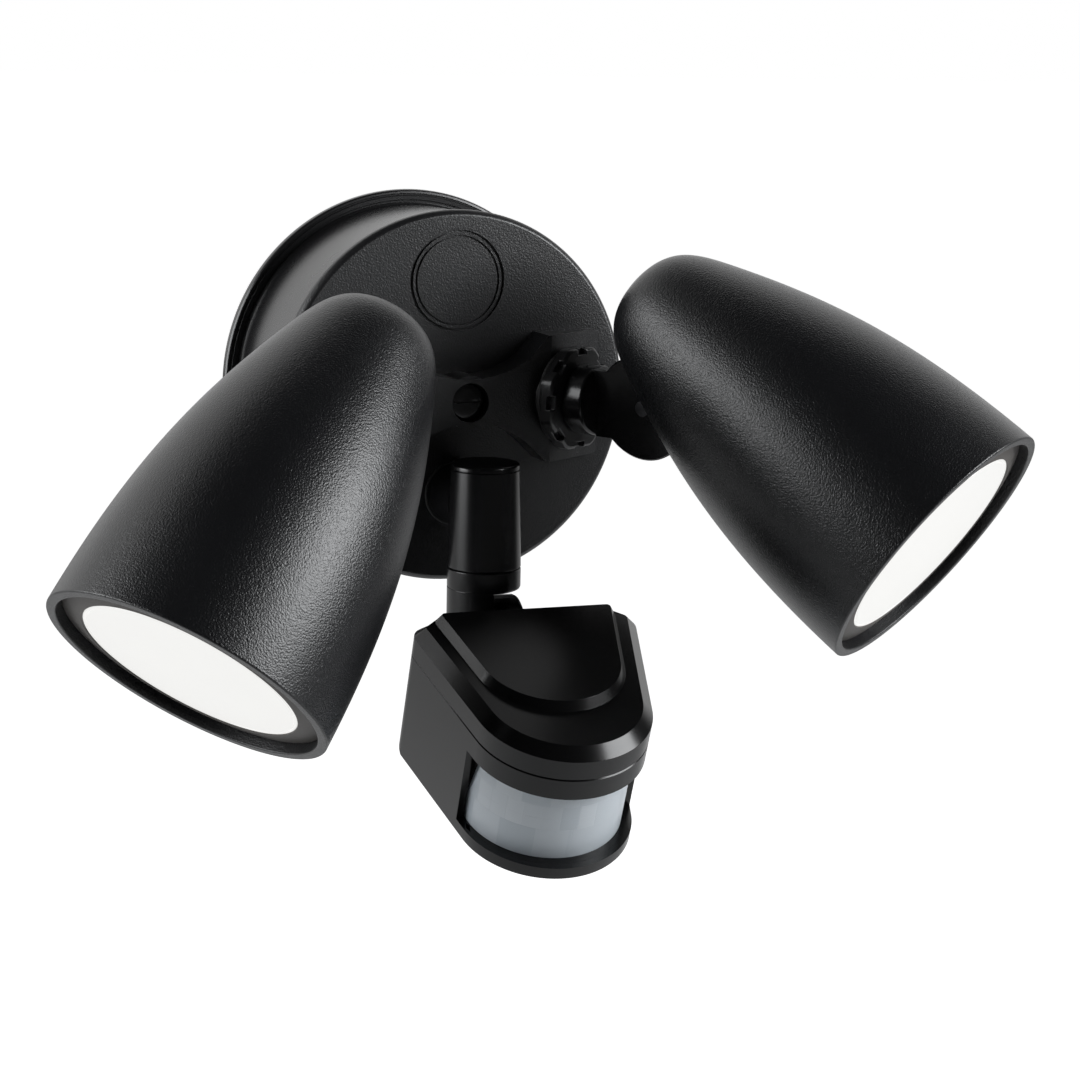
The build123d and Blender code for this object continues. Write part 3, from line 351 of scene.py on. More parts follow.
def drawLine(name, points):
    # one vertex pulled from point to point
    letGo()
    bpy.ops.mesh.primitive_plane_add(size=1)
    piece = bpy.context.object
    piece.name = piece.data.name = name
    startEdit()
    bpy.ops.mesh.merge(type="CENTER")
    here = Vector(points[0])
    bpy.ops.transform.translate(value=here)
    for point in points[1:]:
        step = Vector(point) - here
        bpy.ops.mesh.extrude_region_move(TRANSFORM_OT_translate={"value": step})
        here = Vector(point)
    bpy.ops.mesh.select_all(action="SELECT")
    bpy.ops.mesh.remove_doubles(threshold=sameSpot)
    endEdit()
    return piece


def outwards(piece):
    hold(piece)
    startEdit()
    bpy.ops.mesh.remove_doubles(threshold=sameSpot)
    bpy.ops.mesh.normals_make_consistent(inside=False)
    endEdit()
    return piece


def turned(name, profile, steps=96):
    # a profile of (radius, place along Y), spun round the Y axis
    piece = drawLine(name, [(r, along, 0) for r, along in profile])
    startEdit()
    bpy.ops.mesh.spin(steps=steps, angle=2 * pi, center=(0, 0, 0), axis=(0, 1, 0), use_auto_merge=True)
    endEdit()
    return outwards(piece)


def pulled(name, outline, depth):
    # a flat outline filled and pulled along depth
    piece = drawLine(name, outline + outline[:1])
    startEdit()
    bpy.ops.mesh.edge_face_add()
    bpy.ops.mesh.extrude_region_move(TRANSFORM_OT_translate={"value": depth})
    endEdit()
    return outwards(piece)


def joined(pieces):
    letGo()
    for piece in pieces:
        piece.select_set(True)
    bpy.context.view_layer.objects.active = pieces[0]
    if len(pieces) > 1:
        bpy.ops.object.join()
    return pieces[0]


def stacked(name, loops):
    # closed loops with as many points each, bridged in turn and closed at both ends
    bands = []
    for lower, upper in zip(loops, loops[1:]):
        band = joined([drawLine(name, lower + lower[:1]), drawLine(name, upper + upper[:1])])
        startEdit()
        bpy.ops.mesh.bridge_edge_loops()
        endEdit()
        bands.append(band)
    piece = joined(bands)
    startEdit()
    bpy.ops.mesh.remove_doubles(threshold=sameSpot)
    bpy.ops.mesh.select_all(action="SELECT")
    bpy.ops.mesh.fill_holes(sides=0)
    endEdit()
    return outwards(piece)


def applied(piece, kind, **settings):
    hold(piece)
    modifier = piece.modifiers.new(kind.lower(), kind)
    for key, value in settings.items():
        setattr(modifier, key, value)
    bpy.ops.object.modifier_apply(modifier=modifier.name)
    return piece


def cut(piece, *tools):
    for tool in tools:
        applied(piece, "BOOLEAN", object=tool, operation="DIFFERENCE", solver="EXACT")
        bpy.data.objects.remove(tool)
    return piece


def added(piece, *tools):
    for tool in tools:
        applied(piece, "BOOLEAN", object=tool, operation="UNION", solver="EXACT")
        bpy.data.objects.remove(tool)
    return piece


def softened(piece, width, segments=2, angle=32):
    outwards(piece)
    return applied(piece, "BEVEL", width=width, segments=segments, limit_method="ANGLE",
                   angle_limit=radians(angle), use_clamp_overlap=True)


def moved(piece, matrix):
    piece.data.transform(matrix)
    return piece


def bar(name, radius, back, front, x=0, z=0, steps=64):
    # round bar along Y, measured outwards from the wall
    piece = turned(name, [(0, -back), (radius, -back), (radius, -front), (0, -front)], steps)
    return moved(piece, Matrix.Translation((x, 0, z)))


def crossBar(name, profile, steps=64, z=0):
    # a profile of (radius, place along X), spun round the X axis
    return moved(turned(name, profile, steps), Matrix.Translation((0, 0, z)) @ turn(-90, "Z"))


def rod(name, radius, start, end, steps=32, z=0):
    # round bar along X
    return crossBar(name, [(0, start), (radius, start), (radius, end), (0, end)], steps, z)


def upright(name, profile, steps=96, x=0, y=0):
    # a profile of (radius, place along Z), spun round the Z axis
    return moved(turned(name, profile, steps), Matrix.Translation((x, y, 0)) @ turn(90, "X"))


def block(name, x0, x1, y0, y1, z0, z1):
    letGo()
    bpy.ops.mesh.primitive_cube_add(size=1)
    piece = bpy.context.object
    piece.name = piece.data.name = name
    bpy.ops.transform.resize(value=(x1 - x0, y1 - y0, z1 - z0))
    bpy.ops.transform.translate(value=((x0 + x1) / 2, (y0 + y1) / 2, (z0 + z1) / 2))
    bpy.ops.object.transform_apply(location=True, rotation=True, scale=True)
    return piece


def arc(cx, cy, radius, start, end, count):
    # points on an arc, angles in degrees
    turns = [radians(start + (end - start) * i / count) for i in range(count + 1)]
    return [(cx + radius * cos(t), cy + radius * sin(t)) for t in turns]


def throughThree(a, b, c, count):
    # points on the circle from a through b to c, with a and c level and b between them
    half, rise = (c[0] - a[0]) / 2, b[1] - a[1]
    radius = (half * half + rise * rise) / (2 * abs(rise))
    cy = b[1] - radius if rise > 0 else b[1] + radius
    first, last = atan2(a[1] - cy, a[0] - b[0]), atan2(c[1] - cy, c[0] - b[0])
    if last - first > pi:
        last -= 2 * pi
    if first - last > pi:
        last += 2 * pi
    return [(b[0] + radius * cos(first + (last - first) * i / count),
             cy + radius * sin(first + (last - first) * i / count)) for i in range(count + 1)]


def mirroredCopy(piece, name):
    # the left-hand twin, with its own mesh
    twin = piece.copy()
    twin.data = piece.data.copy()
    twin.name = twin.data.name = name
    bpy.context.scene.collection.objects.link(twin)
    twin.data.transform(Matrix.Diagonal((-1, 1, 1, 1)))
    return outwards(twin)


def faceFinish(piece, index, wanted):
    # gives a second finish to the faces that the test wants
    hold(piece)
    for face in piece.data.polygons:
        if wanted(face):
            face.material_index = index


def placed(piece, place, finishes, body, node, smooth=34):
    # to its place in metres, smooth where it should be, and given to its body
    piece.data.materials.clear()
    for item in finishes:
        piece.data.materials.append(item)
    piece.data.transform(Matrix.Scale(0.001, 4) @ place)
    hold(piece)
    bpy.ops.object.shade_smooth_by_angle(angle=radians(smooth))
    applied(piece, "WEIGHTED_NORMAL", keep_sharp=True, weight=60)
    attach(piece, body)
    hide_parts(node)
    return piece


flat = Matrix.Identity(4)

# wall box: flange with a raised lip and a fine line, and the drum
boxValues = {
    "flange": [(0, -2), (63.0, -2), (63.5, -2.4), (63.5, -3.9), (63.3, -4.5), (62.9, -4.9), (62.3, -5.0),
               (62.0, -4.7), (61.7, -4.7), (61.4, -5.0), (60.2, -5.0), (59.9, -4.5), (59.4, -4.5),
               (59.2, -5.2), (58.9, -5.35)],
    "drum": [(58.6, -5.7), (58.6, -43.4), (58.4, -43.6), (56.0, -43.6), (56.0, -5.0), (0, -5.0)],
    "cableEntry": (10.0, -30.0), "wallScrewX": 42.0, "wallScrewRadius": 2.75,
    "cutBack": 1, "cutFront": 7, "flangeInner": 58.75, "flangeFront": 5.1,
}
wallBox = turned("wallBox", boxValues["flange"] + boxValues["drum"], 192)
cutBack, cutFront = boxValues["cutBack"], boxValues["cutFront"]
cut(wallBox, bar("entryTool", boxValues["cableEntry"][0], cutBack, cutFront, 0, boxValues["cableEntry"][1]))
for side in (-1, 1):
    cut(wallBox, bar("screwTool", boxValues["wallScrewRadius"], cutBack, cutFront,
                     side * boxValues["wallScrewX"], 0, 32))
outwards(wallBox)
faceFinish(wallBox, 1, lambda face: hypot(face.center.x, face.center.z) > boxValues["flangeInner"]
           or face.center.y > -boxValues["flangeFront"])
placed(wallBox, flat, [glossBox, flangeFinish], "wall_fixture", "mount_box", 28)
print("wall box made")

# cover with its bridge, slanted seats, recess and plain boss
coverValues = {
    "rim": [(0, -44.6), (53.7, -44.6), (53.7, -40.6), (55.7, -40.6), (55.7, -44.6)],
    "edge": [(59.7, -44.6), (60.0, -44.9), (60.0, -46.1), (59.75, -46.75), (59.2, -47.45), (58.6, -47.95),
             (58.1, -48.1), (0, -48.1)],
    "face": 48.1, "bridgeFace": 60.0, "bridgeWall": 3.0, "upper": 7.3, "lower": 6.7, "halfHeight": 20.6,
    "end": 51.8, "waist": 20.5, "waistUp": 13.3, "waistLow": 14.3, "shoulder": 27.0, "corner": 3.0,
    "seat": 31.88, "bossRadius": 13.2, "bossDepth": 6.494, "bore": 10.28, "badgeZ": 37.6,
    "badgeGrooves": [(16.2, 15.3, 0.8), (14.5, 13.8, 0.65)],
    "inside": 44.6, "recessTube": (8.5, 40.2, 59.5), "recess": (6.3, 50, 61), "screwWay": (2.7, 39.2, 50.5),
    "elbowBore": (8.0, 43.6, 49.1), "elbowDrop": -31.0, "bandInner": 58.0, "smallFace": 60,
}


def bridgeOutline(inset):
    v = coverValues
    up, low, half, end = v["upper"] - inset, v["lower"] - inset, v["halfHeight"] - inset, v["end"] - inset
    waist, shoulder = v["waist"] + inset / 2, v["shoulder"] + inset / 2
    upSide, lowSide = v["waistUp"] - inset, v["waistLow"] - inset
    r = max(v["corner"] - inset, 0.5)
    points = throughThree((-waist, upSide), (0, up), (waist, upSide), 28)
    points += [(shoulder, half)] + arc(end - r, half - r, r, 90, 0, 6) + arc(end - r, r - half, r, 0, -90, 6)
    points += [(shoulder, -half)] + throughThree((waist, -lowSide), (0, -low), (-waist, -lowSide), 28)
    points += [(-shoulder, -half)] + arc(r - end, r - half, r, -90, -180, 6)
    points += arc(r - end, half - r, r, 180, 90, 6) + [(-shoulder, half)]
    return points


def bridgeBlock(name, inset, back, front):
    piece = pulled(name, [(x, -back, z) for x, z in bridgeOutline(inset)], (0, back - front, 0))
    drop = coverValues["bridgeFace"] - front
    for side in (-1, 1):
        tool = block("seatTool", -90, 90, -90, coverValues["seat"] + drop, -60, 60)
        cut(piece, moved(tool, armPlace(side)))
    return piece


cover = turned("cover", coverValues["rim"] + coverValues["edge"], 192)
added(cover, bridgeBlock("bridge", 0, coverValues["face"] - 0.5, coverValues["bridgeFace"]))
cut(cover, bridgeBlock("bridgeHollow", coverValues["bridgeWall"], coverValues["inside"] - 1,
                       coverValues["bridgeFace"] - coverValues["bridgeWall"]))
added(cover, bar("recessTube", *coverValues["recessTube"]))
cut(cover, bar("recess", *coverValues["recess"]), bar("screwWay", *coverValues["screwWay"]))
coverFace = coverValues["face"]
for outer, inner, depth in coverValues["badgeGrooves"]:
    bottom, top = depth - coverFace, -coverFace - 1
    groove = turned("groove", [(inner, bottom), (outer, bottom), (outer, top), (inner, top), (inner, bottom)])
    cut(cover, moved(groove, Matrix.Translation((0, 0, coverValues["badgeZ"]))))
seat, bossRadius, bore = coverValues["seat"], coverValues["bossRadius"], coverValues["bore"]
bossBack = seat + coverValues["bossDepth"]
for side in (-1, 1):
    boss = bar("boss", bossRadius, -bossBack, -seat - 0.5, steps=96)
    boreTool = bar("bore", bore, -bossBack - 1, 1 - seat, steps=96)
    added(cover, moved(boss, armPlace(side)))
    cut(cover, moved(boreTool, armPlace(side)))
cut(cover, bar("elbowBore", *coverValues["elbowBore"], 0, coverValues["elbowDrop"]))
softened(cover, 0.45, 3, 26)


def inBand(face):
    return hypot(face.center.x, face.center.z) > coverValues["bandInner"]


def isPaintedHighlightEdge(face):
    # the narrow sloping faces on and round the bridge and the boss, which get a painted highlight
    return (not inBand(face) and face.center.y < 0.2 - coverFace and -0.95 < face.normal.y < -0.12
            and face.area < coverValues["smallFace"])


def isPaintedSheenSeat(face):
    # the slanted faces, whose normals lean by the arms' splay; they get a painted sheen
    return face.center.y < -coverFace - 0.1 and 0.42 < abs(face.normal.x) < 0.52 and abs(face.normal.z) < 0.01


faceFinish(cover, 1, inBand)
# the bevel faces take the painted highlight finish
faceFinish(cover, 2, isPaintedHighlightEdge)
# the seat faces take the painted sheen finish
faceFinish(cover, 3, isPaintedSheenSeat)
placed(cover, flat, [grainedCover, coverBand, paintedEdgeHighlight, paintedSheenSeat], "wall_fixture", "cover_plate")
print("cover made")

# domed plug over the cover's screw, with a fold across it
capValues = {"radius": 6.0, "back": 53.0, "side": 56.0, "front": 57.4, "round": 1.4, "fold": (8.8, 0.7, 0.7)}
capRadius, capRound = capValues["radius"], capValues["round"]
capProfile = [(0, -capValues["back"]), (capRadius - 0.3, -capValues["back"]),
              (capRadius, -capValues["back"] - 0.3), (capRadius, -capValues["side"])]
capProfile += [(x, -y) for x, y in arc(capRadius - capRound, capValues["side"], capRound, 0, 62, 6)]
capProfile += [(3.6, 0.07 - capValues["front"]), (0, -capValues["front"])]
screwCap = turned("screwPlug", capProfile, 64)
foldWidth, foldDepth, foldHeight = capValues["fold"]
cut(screwCap, block("foldTool", -foldWidth / 2, foldWidth / 2, -capValues["front"] - 1,
                    -capValues["front"] + foldDepth, -foldHeight / 2, foldHeight / 2))
softened(screwCap, 0.18, 2, 40)
placed(screwCap, flat, [glossSmall], "wall_fixture", "screw_cap")

# sealing washers and octagonal locknuts
nutValues = {"back": 30.68, "front": 25.68, "corner": 17.1, "apothem": 16.168, "bore": 10.28,
             "notch": (4.4, 14.2, 2.2), "chamfer": 0.9}


def nutLoop(y, shrink):
    # an octagon whose corners are turned down to a circle
    v = nutValues
    reach = acos(v["apothem"] / v["corner"]) * 180 / pi
    points = []
    for i in range(8):
        for off in (-reach, -reach / 2, 0, reach / 2, reach, 22.5):
            radius = v["corner"] if abs(off) >= reach else v["apothem"] / cos(radians(off))
            t = radians(45 * i + off)
            points.append(((radius - shrink) * cos(t), y, (radius - shrink) * sin(t)))
    return points


def makeLocknut():
    v = nutValues
    nut = stacked("rightLocknut", [nutLoop(v["back"], 0.5), nutLoop(v["back"] - 0.4, 0),
                                   nutLoop(v["front"] + 0.5, 0), nutLoop(v["front"], v["chamfer"])])
    width, floor, depth = v["notch"]
    for i in range(8):
        tool = block("notchTool", -width / 2, width / 2, v["front"] - 1, v["front"] + depth, floor, 19)
        cut(nut, moved(tool, turn(45 * i, "Y")))
    cut(nut, bar("nutBore", v["bore"], -24, -32, steps=96))
    return softened(nut, 0.3, 2, 24)


washer = turned("rightArmWasher", [(10.28, 31.88), (15.6, 31.88), (15.8, 31.6), (15.8, 30.9), (15.6, 30.68),
                                   (10.28, 30.68), (10.28, 31.88)], 96)
locknut = makeLocknut()
leftWasher, leftLocknut = mirroredCopy(washer, "leftArmWasher"), mirroredCopy(locknut, "leftLocknut")
for side, word, washerPiece, nutPiece in ((-1, "left", leftWasher, leftLocknut),
                                          (1, "right", washer, locknut)):
    placed(washerPiece, armPlace(side), [blackRubber], "wall_fixture", word + "_arm_washer")
    placed(nutPiece, armPlace(side), [nutFinish], "wall_fixture", word + "_locknut")
print("locknuts made")

# arms: threaded stem, collar, web and pivot disc
armValues = {"collar": 11.4, "collarBack": 25.38, "collarFront": 17.68, "stem": 10.2, "stemEnd": 43.87,
             "bore": 6.0, "boreEnd": 21.68, "thread": 0.45, "pitch": 1.5, "disc": 17.0,
             "threadStart": 5.8, "inner": -3.1, "outer": 2.0, "webHalf": 11.0, "webEnd": 18.68,
             "boltWay": 2.58}


def makeArm():
    v = armValues
    profile = [(0, v["collarFront"]), (v["collar"] - 1.2, v["collarFront"]),
               (v["collar"] - 0.4, v["collarFront"] + 0.4), (v["collar"], v["collarFront"] + 1.2),
               (v["collar"], v["collarBack"] - 0.3),
               (v["collar"] - 0.3, v["collarBack"]), (v["stem"], v["collarBack"])]
    along = v["collarBack"] + v["threadStart"]
    while along < v["stemEnd"] - v["pitch"]:
        # rings stand for the stem's thread
        profile += [(v["stem"], along), (v["stem"] - v["thread"], along + v["pitch"] / 2)]
        along += v["pitch"]
    profile += [(v["stem"] - 0.4, v["stemEnd"]), (v["bore"], v["stemEnd"]), (v["bore"], v["boreEnd"]),
                (0, v["boreEnd"])]
    arm = turned("rightArm", profile, 96)
    added(arm, block("web", v["inner"], v["outer"], 0, v["webEnd"], -v["webHalf"], v["webHalf"]))
    disc = crossBar("disc", [(0, v["inner"]), (v["disc"] - 0.5, v["inner"]), (v["disc"], v["inner"] + 0.5),
                             (v["disc"], v["outer"] - 0.5), (v["disc"] - 0.5, v["outer"]),
                             (0, v["outer"])], 128)
    added(arm, disc)
    cut(arm, rod("boltWay", v["boltWay"], -18, 18))
    return softened(arm, 0.35, 2, 30)


arm = makeArm()
for side, word, piece in ((-1, "left", mirroredCopy(arm, "leftArm")), (1, "right", arm)):
    placed(piece, swivelPlace(side), [satinBlack], word + "_lamp_arm", word + "_arm")
print("arms made")

# lamps, drawn with the lip's outline at Y = 0 and the end towards +Y, then moved to the pivot
lampValues = {
    "lip": 43.3, "shoulder": (106.6, 23.7), "length": 125.0, "frontSlope": 0.4, "shoulderSlope": 20.9,
    "frontPull": 47.0, "middlePull": 34.0, "rearPull": 15.2, "endWidth": 14.5, "wall": 3.2,
    "pivot": (3.55, -101.1, 29.55), "lug": (17.0, 2.3, 8.9), "slot": (17.3, -3.4), "steps": 176,
    "bezelSeat": (40.3, 4.1), "diffuserSeat": (38.1, 8.2), "chamber": (35.6, 42.0), "rearWall": 79.0,
    "driverRoom": (9.5, 111.0), "boltWay": 2.5, "headWay": (4.5, 7.7), "line": (31.87, 32.43),
    "bezel": [(40.22, 4.1), (40.22, 3.1), (40.0, 2.9), (33.7, 1.38), (33.4, 1.32), (33.2, 1.5), (33.2, 4.1),
              (40.22, 4.1)],
    "diffuser": [(0, 6.6), (38.0, 6.6), (38.0, 4.1), (33.1, 4.1), (33.1, 1.8), (32.9, 1.6), (32.45, 1.6),
                 (32.35, 1.85), (31.95, 1.85), (31.85, 1.6), (0, 1.6)],
}


def bezier(p0, p1, p2, p3, count):
    points = []
    for i in range(count + 1):
        t = i / count
        a, b, c, d = (1 - t) ** 3, 3 * t * (1 - t) ** 2, 3 * t * t * (1 - t), t ** 3
        points.append((a * p0[0] + b * p1[0] + c * p2[0] + d * p3[0],
                       a * p0[1] + b * p1[1] + c * p2[1] + d * p3[1]))
    return points


def bullet(inset):
    # the lamp's curve as (radius, station), from the lip to the end
    v = lampValues
    s0, s1 = radians(v["frontSlope"]), radians(v["shoulderSlope"])
    r0 = v["lip"] - inset
    at, r1 = v["shoulder"][0] - inset * sin(s1), v["shoulder"][1] - inset
    end = v["length"] - inset
    body = bezier((r0, 0), (r0 - v["frontPull"] * sin(s0), v["frontPull"] * cos(s0)),
                  (r1 + v["middlePull"] * sin(s1), at - v["middlePull"] * cos(s1)), (r1, at), 44)
    tail = bezier((r1, at), (r1 - v["rearPull"] * sin(s1), at + v["rearPull"] * cos(s1)),
                  (v["endWidth"] - inset, end), (0, end), 26)
    return body + tail[1:]


def makeLampBody():
    v = lampValues
    seatRadius, seatEnd = v["bezelSeat"]
    diffuserRadius, diffuserEnd = v["diffuserSeat"]
    chamberRadius, chamberEnd = v["chamber"]
    driverRadius, driverEnd = v["driverRoom"]
    profile = list(reversed(bullet(0))) + arc(42.8, -0.1, 0.5, 0, -90, 5) + arc(40.7, -0.2, 0.4, -90, -180, 4)
    profile += [(seatRadius, seatEnd), (diffuserRadius, seatEnd), (diffuserRadius, diffuserEnd),
                (chamberRadius, diffuserEnd), (chamberRadius, chamberEnd)]
    inside = [p for p in bullet(v["wall"]) if chamberEnd + 0.5 < p[1] < v["rearWall"]]
    profile += [(inside[0][0] + 0.1, chamberEnd)] + inside + [(inside[-1][0], v["rearWall"] + 0.5)]
    profile += [(driverRadius, v["rearWall"] + 0.5), (driverRadius, driverEnd), (0, driverEnd)]
    lamp = turned("rightLampBody", profile, v["steps"])
    moved(lamp, Matrix.Translation(v["pivot"]))
    radius, start, end = v["lug"]
    lug = crossBar("lug", [(0, start), (radius, start), (radius, end - 0.8), (radius - 0.3, end - 0.3),
                           (radius - 0.8, end), (0, end)], 96)
    added(lamp, lug)
    slotRadius, slotStart = v["slot"]
    boltRadius, (headRadius, headStart) = v["boltWay"], v["headWay"]
    cut(lamp, rod("slotTool", slotRadius, slotStart, start, 96), rod("boltWay", boltRadius, 1, 43),
        rod("headWay", headRadius, headStart, 43, 48))
    softened(lamp, 0.3, 2, 34)
    mouth = v["pivot"][1] - 0.45
    faceFinish(lamp, 1, lambda face: face.center.y < mouth and face.normal.y < -0.5)
    return lamp


def hexagon(x, radius):
    return [(x, radius * cos(radians(60 * i)), radius * sin(radians(60 * i))) for i in range(6)]


def makeBolt():
    head = crossBar("rightBolt", [(0, -3.1), (2.5, -3.1), (2.5, 7.7), (4.0, 7.7), (4.4, 8.1), (4.4, 10.2),
                                  (4.25, 10.6), (3.8, 10.85), (3.3, 10.9), (0, 10.9)], 48)
    cut(head, pulled("socketTool", hexagon(8.9, 2.3), (3, 0, 0)))
    return softened(head, 0.12, 2, 40)


lampPieces = {
    "lamp_housing": (makeLampBody(), [lampCoat, lipCoat]),
    "bezel": (moved(turned("rightBezelRing", lampValues["bezel"], 160),
                    Matrix.Translation(lampValues["pivot"])), [bezelFinish]),
    "diffuser": (moved(turned("rightDiffuserDisc", lampValues["diffuser"], 160),
                       Matrix.Translation(lampValues["pivot"])), [diffuserFinish, diffuserLine]),
    "pivot_bolt": (makeBolt(), [boltFinish]),
}
px, py, pz = lampValues["pivot"]
lineInner, lineOuter = lampValues["line"]
faceFinish(lampPieces["diffuser"][0], 1, lambda face: face.center.y - py < 2
           and lineInner < hypot(face.center.x - px, face.center.z - pz) < lineOuter)
for node, (piece, finishes) in lampPieces.items():
    twin = mirroredCopy(piece, piece.name.replace("right", "left"))
    placed(twin, lampPlace(-1), finishes, "left_lamp", "left_" + node)
    placed(piece, lampPlace(1), finishes, "right_lamp", "right_" + node)
print("lamps made")

# sensor elbow: stub, barrel, its cap and its seal
elbowValues = {
    "axis": -72.5, "drop": -31.0,
    "stub": (10.0, 49.1, 66.0), "stem": (8.0, 38.1, 49.6), "bore": (4.5, 37, 72),
    "barrel": [(0, -19.0), (10.7, -19.0), (10.9, -19.2), (11.68, -49.9), (11.45, -50.2), (7.08, -50.2),
               (7.08, -41.0), (8.5, -41.0), (8.5, -22.2), (0, -22.2)],
    "cap": [(0, -17.0), (10.0, -17.0), (10.45, -17.12), (10.75, -17.4), (10.88, -17.8), (10.9, -18.75),
            (10.65, -19.0), (8.5, -19.0), (8.5, -22.0), (0, -22.0)],
    "seal": [(8.0, -48.1), (10.4, -48.1), (10.6, -48.3), (10.6, -48.9), (10.4, -49.1), (8.0, -49.1),
             (8.0, -48.1)],
}
drop = elbowValues["drop"]
barrel = upright("sensorBarrel", elbowValues["barrel"], 128, 0, elbowValues["axis"])
added(barrel, bar("stub", *elbowValues["stub"], 0, drop, 96))
added(barrel, bar("stubStem", *elbowValues["stem"], 0, drop, 64))
cut(barrel, bar("stubBore", *elbowValues["bore"], 0, drop, 48))
softened(barrel, 0.25, 2, 34)
placed(barrel, flat, [barrelFinish], "wall_fixture", "sensor_elbow")
barrelCap = upright("barrelCap", elbowValues["cap"], 128, 0, elbowValues["axis"])
placed(barrelCap, flat, [barrelFinish], "wall_fixture", "elbow_cap")
sealRing = turned("elbowSealRing", elbowValues["seal"], 96)
moved(sealRing, Matrix.Translation((0, 0, drop)))
placed(sealRing, flat, [blackRubber], "wall_fixture", "elbow_seal")

# swivel knuckle with its half-lap tongue, drawn round the swivel's axis
knuckleValues = {
    "stem": [(0, -57.3), (10.7, -57.3), (11.4, -57.0), (11.7, -56.3), (11.7, -50.75), (11.45, -50.5),
             (7.0, -50.5), (7.0, -41.7), (5.8, -41.7), (5.8, -40.7), (7.0, -40.7), (7.0, -39.7),
             (3.5, -39.7), (3.5, -54.3), (0, -54.3)],
    "tongue": [(0, -84.2), (11.7, -84.2), (11.7, -56.8), (0, -56.8)],
    "radius": 11.7, "pivot": -71.5, "lap": -0.15, "screwWay": 2.0, "screwSeat": (4.1, -8.5),
}
knuckleRadius, pivotZ = knuckleValues["radius"], knuckleValues["pivot"]
screwWay, (seatRadius, seatEnd) = knuckleValues["screwWay"], knuckleValues["screwSeat"]
knuckle = upright("sensorKnuckle", knuckleValues["stem"], 128)
tongue = upright("tongue", knuckleValues["tongue"], 128)
tongueKeep = block("tongueKeep", -30, 30, -30, 30, pivotZ, -50)
added(tongueKeep, rod("tongueRound", knuckleRadius, -30, 30, 128, pivotZ))
applied(tongue, "BOOLEAN", object=tongueKeep, operation="INTERSECT", solver="EXACT")
bpy.data.objects.remove(tongueKeep)
cut(tongue, block("lapTool", knuckleValues["lap"], 30, -30, 30, -90, -50))
added(knuckle, tongue)
cut(knuckle, rod("screwWay", screwWay, -30, 30, 32, pivotZ),
    rod("screwSeat", seatRadius, -30, seatEnd, 48, pivotZ))
softened(knuckle, 0.3, 2, 30)
placed(knuckle, turnPlace, [barrelFinish], "sensor_arm", "sensor_knuckle")
print("elbow and knuckle made")

# sensor head, drawn level with its tilt pivot at the origin
headValues = {
    "shift": 5.8, "back": 17.3, "sideBack": 22.8, "half": 36.0, "front": 87.2, "nose": 27.6, "corner": 5.3,
    "bottom": -29.2, "seam": 8.7, "wall": 2.2, "sideTop": 15.45, "bevel": 3.5, "plateTop": 18.95,
    "hood": {"half": 26.8, "front": 66.0, "nose": 21.8, "corner": 3.0, "bevel": 1.8, "rise": 2.9},
    "window": (-24.8, 1.6), "windowStart": 60.8, "lens": (25.2, -57.0), "heel": (7.4, 5.8),
    "boss": (3.2, 25.0, 26.5), "dialY": -44.0, "dialPitch": 13.0, "dialRadius": 4.5,
    "floor": -27.0, "ceiling": 15.05, "pegAside": 12.0, "nutPocket": (8.4, 4.25), "rimTop": 15.5,
}


def headLoop(z, inset, half=headValues["half"], front=headValues["front"], nose=headValues["nose"],
             corner=headValues["corner"]):
    # flat back, rounded rear corners, straight sides drawing in to a round nose
    v = headValues
    noseY, radius = nose - front, nose - inset
    px, py = half - inset, -v["sideBack"]
    dx, dy = -px, noseY - py
    reach = hypot(dx, dy)
    heading = atan2(dy, dx) + asin(radius / reach)
    run = sqrt(reach * reach - radius * radius)
    tx, ty = px + run * cos(heading), py + run * sin(heading)
    by = -v["back"] - inset
    bx = px + (by - py) / tan(heading)
    r = max(corner - inset, 0.5)
    # corner between the back, walked towards +X, and the side, walked towards the nose
    turnBy = abs(heading)
    cut0 = r * tan(turnBy / 2)
    corners = arc(bx - cut0, by - r, r, 90, 90 - turnBy * 180 / pi, 8)
    right = [(bx * i / 4 - cut0 * i / 4, by) for i in range(4)] + corners
    last = right[-1]
    right += [(last[0] + (tx - last[0]) * i / 6, last[1] + (ty - last[1]) * i / 6) for i in range(1, 6)]
    start = atan2(ty - noseY, tx) * 180 / pi
    right += arc(0, noseY, radius, start, -90, 30)
    left = [(-x, y) for x, y in reversed(right[1:-1])]
    return [(x + v["shift"], y, z) for x, y in right + left]


def hoodLoop(z, inset):
    h = headValues["hood"]
    bevel = h["bevel"]
    return headLoop(z, inset, h["half"] + bevel, h["front"] + bevel, h["nose"] + bevel, h["corner"])


def post(name, radius, low, high, x, y, steps=48):
    return upright(name, [(0, low), (radius, low), (radius, high), (0, high)], steps, x, y)


def heelTool(name, shift):
    # cuts the slope off the case's lower rear edge
    depth, height = headValues["heel"]
    y, z = -headValues["back"] - shift, headValues["bottom"] + shift
    corners = [(-90, y + 0.01, z - 0.01), (-90, y + 0.01, z + height), (-90, y - depth, z - 0.01)]
    return pulled(name, corners, (180, 0, 0))


